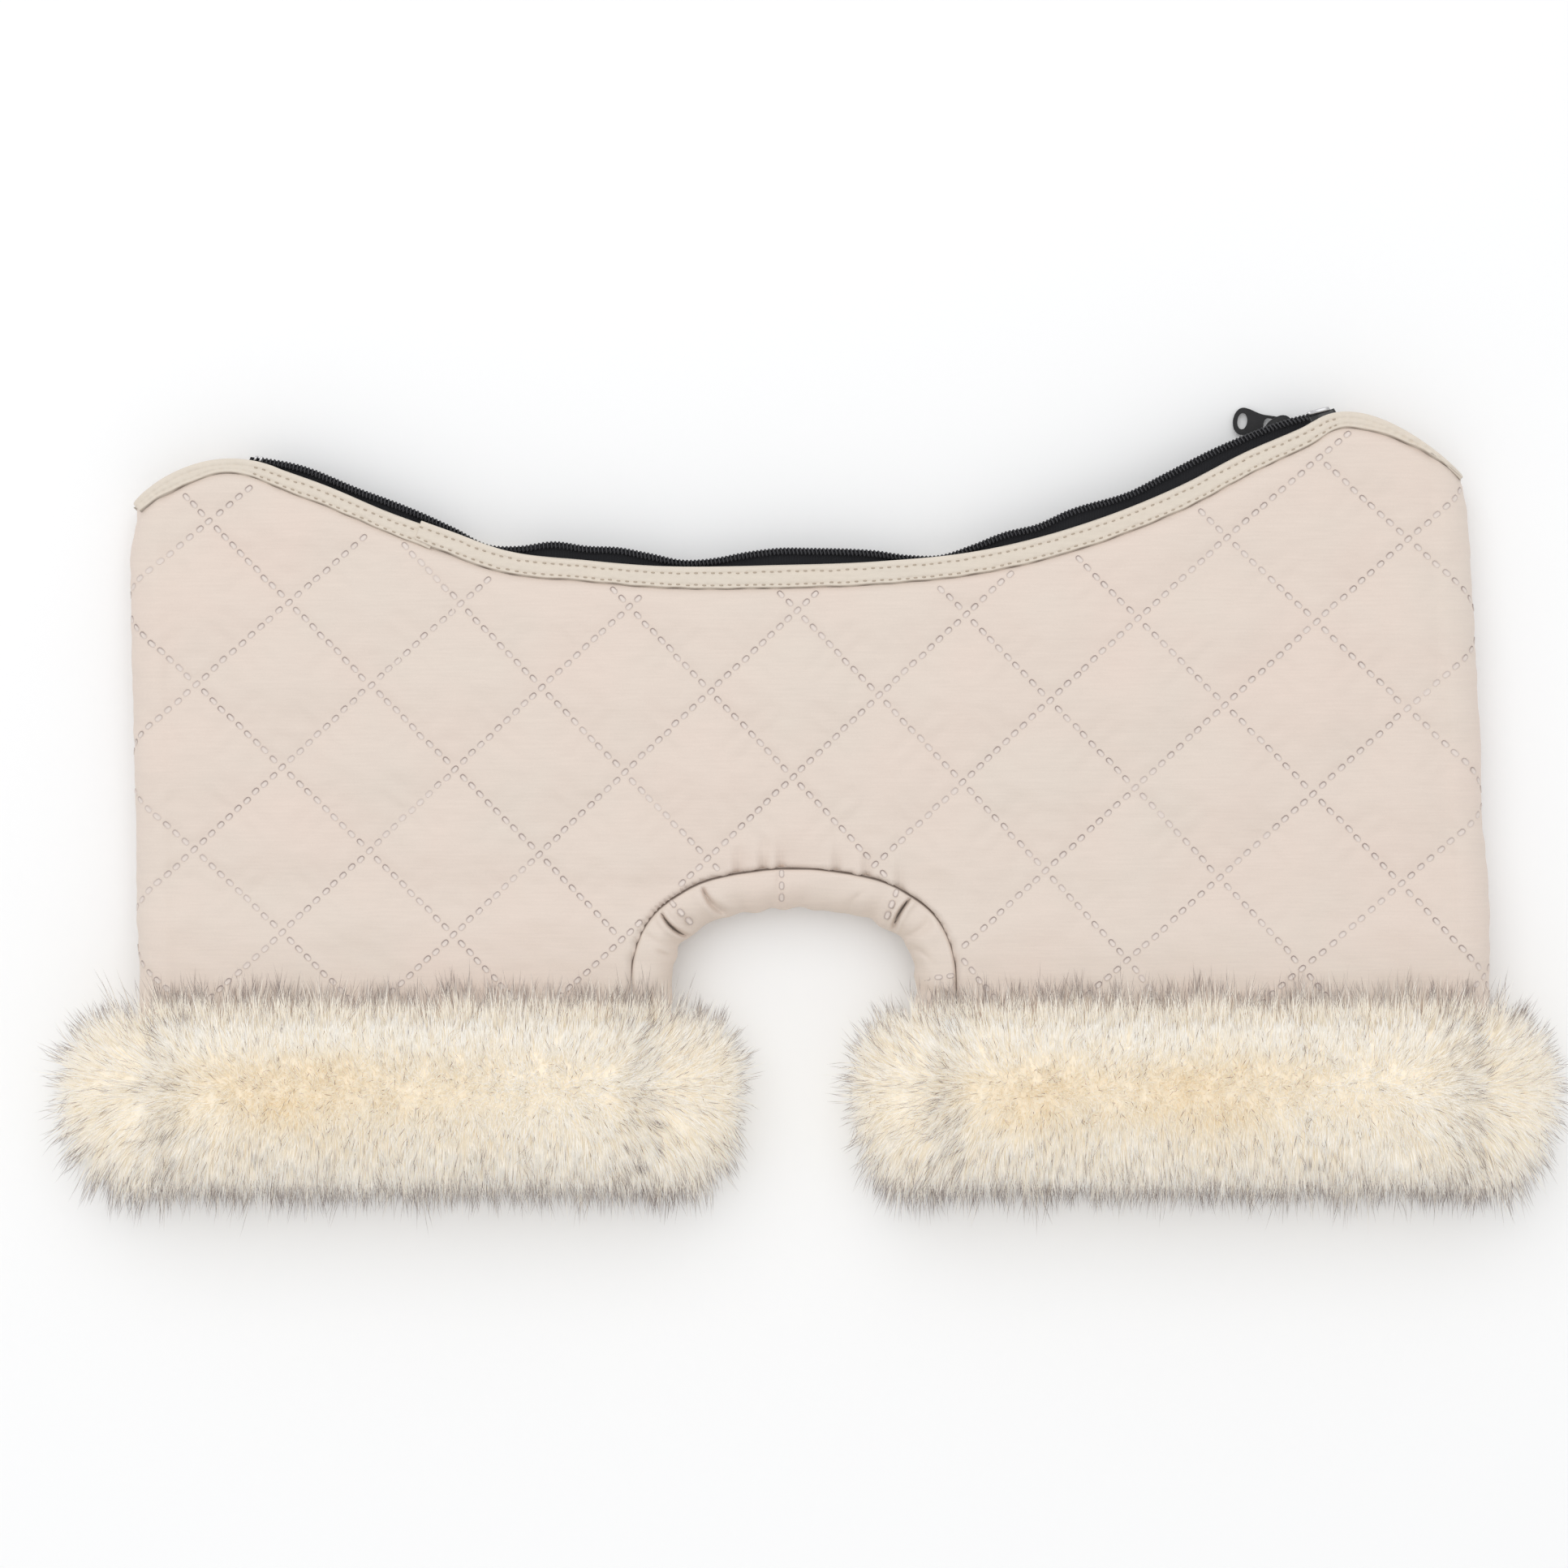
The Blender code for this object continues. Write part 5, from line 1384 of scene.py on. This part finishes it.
def tufted(a, turn, source):
    """Each hair's way to the middle of its tuft, in a and turn, and the tuft's four own chances."""
    column = np.floor(a / tuft_size + 0.45 * np.sin(turn / 9.0)).astype(int)
    row = np.floor(turn / 17.0 + 0.45 * np.sin(a / 0.004)).astype(int) + 8
    tuft = np.unique(column * 64 + row, return_inverse=True)[1]
    own = source.normal(0.0, 1.0, (tuft.max() + 1, 4))
    count = np.bincount(tuft)
    to_a, to_turn = ((np.bincount(tuft, v) / count)[tuft] - v for v in (a, turn))
    return to_a, to_turn, own[tuft]


def hair_stations(shares, a, turn, to_a, to_turn, reach, left, sway, sway_power=1.0):
    """Four places along each hair: as it grows out it leans towards its tuft and sways."""
    stations = []
    for share in shares:
        grown = (share - shares[0]) / (1.0 - shares[0])
        stations.append(pile_curve(a + to_a * grown, turn + to_turn * grown, np.full(len(a), share),
                                   reach, left, sway * grown ** sway_power))
    return np.stack(stations, axis=1)


def wool(side, left, number, patches, seed):
    """The cream wool: most of it on the front and ends, rooted inside the underfur."""
    middle, flat, radius, total = leg_ring(left)
    count = wool_count
    source = np.random.default_rng(seed)
    arc = math.pi * radius
    part = source.uniform(size=count)
    a = np.where(part < 0.62, source.uniform(0.0, 2 * flat, count),
                 source.uniform(2 * flat - 0.010, 2 * flat + arc + 0.004, count))
    a = np.where((part > 0.74) & (part < 0.88),
                 source.uniform(-arc - 0.004, 0.010, count), a)
    a = np.where(part > 0.88, source.uniform(2 * flat + arc, 4 * flat + arc, count), a)
    turn = np.degrees(np.arccos(source.uniform(-1.0, 1.0, count)))
    turn = np.where(source.uniform(size=count) < 0.22, source.uniform(-4.0, 196.0, count), turn)
    to_a, to_turn, own = tufted(a, turn, source)
    at_crest = bell((turn - 90.0) / 26.0)
    pull = tuft_pull * (1.0 - 0.9 * at_crest)
    reach = 0.96 + 0.022 * own[:, 3] + source.normal(0.0, 0.035, count) - 0.04 * at_crest
    loose = (0.0008 + 0.0014 * at_crest)[:, None]
    sway = own[:, :3] * 0.0009 + source.normal(0.0, 1.0, (count, 3)) * loose
    stations = hair_stations((0.46, 0.66, 0.84, 1.0), a, turn, to_a * pull, to_turn * pull, reach, left,
                             sway)
    straw = straw_share(stations[:, -1, 0], turn, patches, source)
    # Most wool hairs on the underside get brown tips: partly the fringe's own colour, partly painted shade
    # where the cuff turns to the table.
    below = (on_ring(a, middle, flat, radius, total)[3] < -0.3) | (turn > 186.0)
    dark = np.where(source.uniform(size=count) < 0.03 + 0.62 * below * (turn > 125.0), 0.9, 0.0)
    hair_piece("fur_%s_wool_%d" % (side, number), stations, wool_width, straw, dark, source)


def guard_hairs(side, left, seed):
    """Longer hairs with brown tips: thick along both edges and at the ends, thin between."""
    flat, radius = leg_ring(left)[1:3]
    count = guard_count
    source = np.random.default_rng(seed)
    arc = math.pi * radius
    kind = source.uniform(size=count)
    a, turn = source.uniform(0.0, 2 * flat, count), 165.0 - 145.0 * source.uniform(size=count) ** 1.5
    longer, wider = np.full(count, 0.05), np.full(count, 0.05)
    # A share of the hairs, where round the hem, how many degrees from the mouth, and how much
    # longer than the wool: on average and spread.
    zones = ((0.00, 0.20, (-0.01, 2 * flat + 0.01), (-14.0, 18.0), 0.34, 0.16),
             (0.20, 0.29, (-0.01, 2 * flat + 0.01), (168.0, 200.0), 0.02, 0.08),
             (0.29, 0.45, (2 * flat + 0.5 * arc, 4 * flat + 1.5 * arc), (160.0, 192.0), 0.00, 0.09),
             (0.45, 0.60, (2 * flat - 0.012, 2 * flat + 0.95 * arc), (15.0, 168.0), 0.12, 0.08),
             (0.60, 0.75, (-0.95 * arc, 0.012), (15.0, 168.0), 0.12, 0.08))
    for low, high, stretch, turns, extra, spread in zones:
        chosen = (kind >= low) & (kind < high)
        a = np.where(chosen, source.uniform(*stretch, count), a)
        turn = np.where(chosen, source.uniform(*turns, count), turn)
        longer, wider = np.where(chosen, extra, longer), np.where(chosen, spread, wider)
    to_a, to_turn, own = tufted(a, turn, source)
    reach = 1.0 + longer + wider * (0.30 * own[:, 3] + source.normal(0.0, 0.90, count))
    loose = np.where(kind < 0.45, 0.0021, 0.0013)[:, None]
    sway = own[:, :3] * 0.0014 + source.normal(0.0, 1.0, (count, 3)) * loose
    stations = hair_stations((0.55, 0.72, 0.87, 1.0), a, turn, to_a * guard_pull, to_turn * guard_pull,
                             reach, left, sway, 1.3)
    straw = np.clip(0.2 + source.normal(0.0, 0.1, count), 0.0, 1.0)
    thick = np.clip(0.70 + 0.40 * waves(95, 5, 0.055, a, turn * 0.0004), 0.1, 1.0)
    dark = np.where(source.uniform(size=count) < np.where(kind < 0.75, thick, 0.45), 0.9, 0.5)
    dark = np.where(source.uniform(size=count) < 0.20, 0.2, dark)
    hair_piece("fur_%s_guard" % side, stations, guard_width, straw, dark, source)


def underfur(side, left, node):
    """The dense wool under the hairs: one closed lumpy ring, ridged along the lie of the hair."""
    ring = leg_ring(left)
    columns = int(ring[3] / 0.0011)
    a = np.arange(columns)[:, None] * (ring[3] / columns)
    turn = np.linspace(-6.0, 200.0, 44)[None, :]
    a, turn = a + 0 * turn, turn + 0 * a
    ridge = waves(71, 12, 0.0050, a, turn * 0.00006) + 0.8 * waves(72, 8, 0.018, a, turn * 0.00030)
    reach = 1.0 + ridge * core_lump / wool_top
    outer = pile_curve(a, turn, np.full_like(a, core_share), reach, left)
    x, z, nx, nz = on_ring(a[:, :3], *ring)
    y = np.array((band_end_y, (band_top_y + band_end_y) / 2, band_top_y))[None, :] + 0 * x
    inner = np.stack((x - band_depth * nx, y, z - band_depth * nz), axis=-1)
    points = np.concatenate((outer, inner), axis=1)
    points[..., 2] = np.maximum(points[..., 2], 0.0)
    rows = points.shape[1]
    here = np.arange(columns)[:, None] * rows
    after = (np.arange(columns)[:, None] + 1) % columns * rows
    row, below = np.arange(rows), (np.arange(rows) + 1) % rows
    quads = np.stack((here + row, here + below, after + below, after + row), axis=-1).reshape(-1, 4)
    new_piece("fur_%s_underfur" % side, points.reshape(-1, 3), quads, core_finish, [node])


core_finish, core_shader, core_wire = new_finish("cream_underfur", (0.90, 0.84, 0.72), {
    "Roughness": 0.95, "Sheen Weight": 0.3, "Specular IOR Level": 0.1})
core_noise = core_wire.noise(260.0, 4.0)
core_colour = core_noise.mix((0.86, 0.76, 0.60), (0.95, 0.91, 0.83))
# The underfur glows by its colour too: painted light in the shade under the hairs.
feed(core_shader, Base_Color=core_colour, Emission_Color=core_colour,
     Normal=core_noise.bump(0.0015, 0.8))
core_shader.inputs["Emission Strength"].default_value = painted_fur_glow
# Each cuff's side, and the straw-coloured patches of its wool: place, size and amount.
cuffs = (("left", True, ((-0.1916, 0.038, 0.70), (-0.130, 0.022, 0.22))),
         ("right", False, ((0.0865, 0.026, 0.62), (0.1514, 0.030, 0.70))))
for side, left, patches in cuffs:
    underfur(side, left, "fur_cuff_" + side)
    for number in (1, 2):
        wool(side, left, number, patches, 300 + 10 * number + left)
    guard_hairs(side, left, 400 + left)


# Slider, pull and metal ends. The slider, its bridge and the pull are die-cast and
# painted satin black; the stops and pins are bright pressed metal.

painted, painted_shader, painted_wire = new_finish("black_paint", (0.010, 0.010, 0.012), {
    "Roughness": 0.4, "Specular IOR Level": 0.3})
painted_noise = painted_wire.noise(700.0, 3.0)
feed(painted_shader, Roughness=painted_noise * 0.25 + 0.28, Normal=painted_noise.bump(0.00004, 0.5),
     Base_Color=painted_noise.mix((0.008, 0.008, 0.009), (0.014, 0.014, 0.016)))
for name in ("zip_slider_bridge", "zip_pull"):
    for place in frame["nodes"][name].material_slots:
        place.material = painted

slider_to_right = 0.0129
slider_degrees = right_degrees(-slider_to_right)
slider_radius = mouth_radius + back_mouth_drop - 0.0070
slider_half_length = 0.0053
slider_half_width = 0.0045
slider_shift = 0.0013
channel_low = back_tape_low - coil_height - 0.0006
channel_high = back_tape_low + tape_thickness + sewing_gap
slider_plate = 0.0012
slider_power = 0.82


def slider_part(name, along, out, length, width, levels, shares, replaced=()):
    """A rounded block on the slider's path: a superellipse in plan, drawn in at each level by a share."""
    turn = np.linspace(0.0, 2 * math.pi, 40, endpoint=False)
    across = length * bent(np.cos(turn), slider_power) + along
    aside = width * bent(np.sin(turn), slider_power) + out
    rings = []
    for level, share in zip(levels, shares):
        degrees = slider_degrees + np.degrees((along + (across - along) * share) / slider_radius)
        x, y = arc_point(slider_radius + out + (aside - out) * share, degrees)
        rings.append(np.column_stack((x, y, level + 0 * x)))
    ring_tube(name, np.stack(rings), painted, replaced, False, "zip_slider")


slider_part("slider_front_plate", 0.0, slider_shift, slider_half_length, slider_half_width,
            channel_high + slider_plate * np.array((0.0, 0.08, 0.4, 0.75, 0.95, 1.0)),
            (0.95, 1.0, 1.0, 0.94, 0.80, 0.55), ["zip_slider_body"])
slider_part("slider_back_plate", 0.0, slider_shift, slider_half_length, slider_half_width,
            channel_low - slider_plate * np.array((1.0, 0.75, 0.4, 0.08, 0.0)),
            (0.80, 0.95, 1.0, 1.0, 0.95))
slider_part("slider_wedge", -0.0032, 0.0, 0.0018, 0.0011,
            np.array((channel_low - 0.0003, channel_high + 0.0003)), (1.0, 1.0))
pressed_bar("zip_box", (29.55, 30.55), BACK, 0.0004, 0.0046, -0.0018, 0.0022, painted,
            ["zip_retainer_box"])
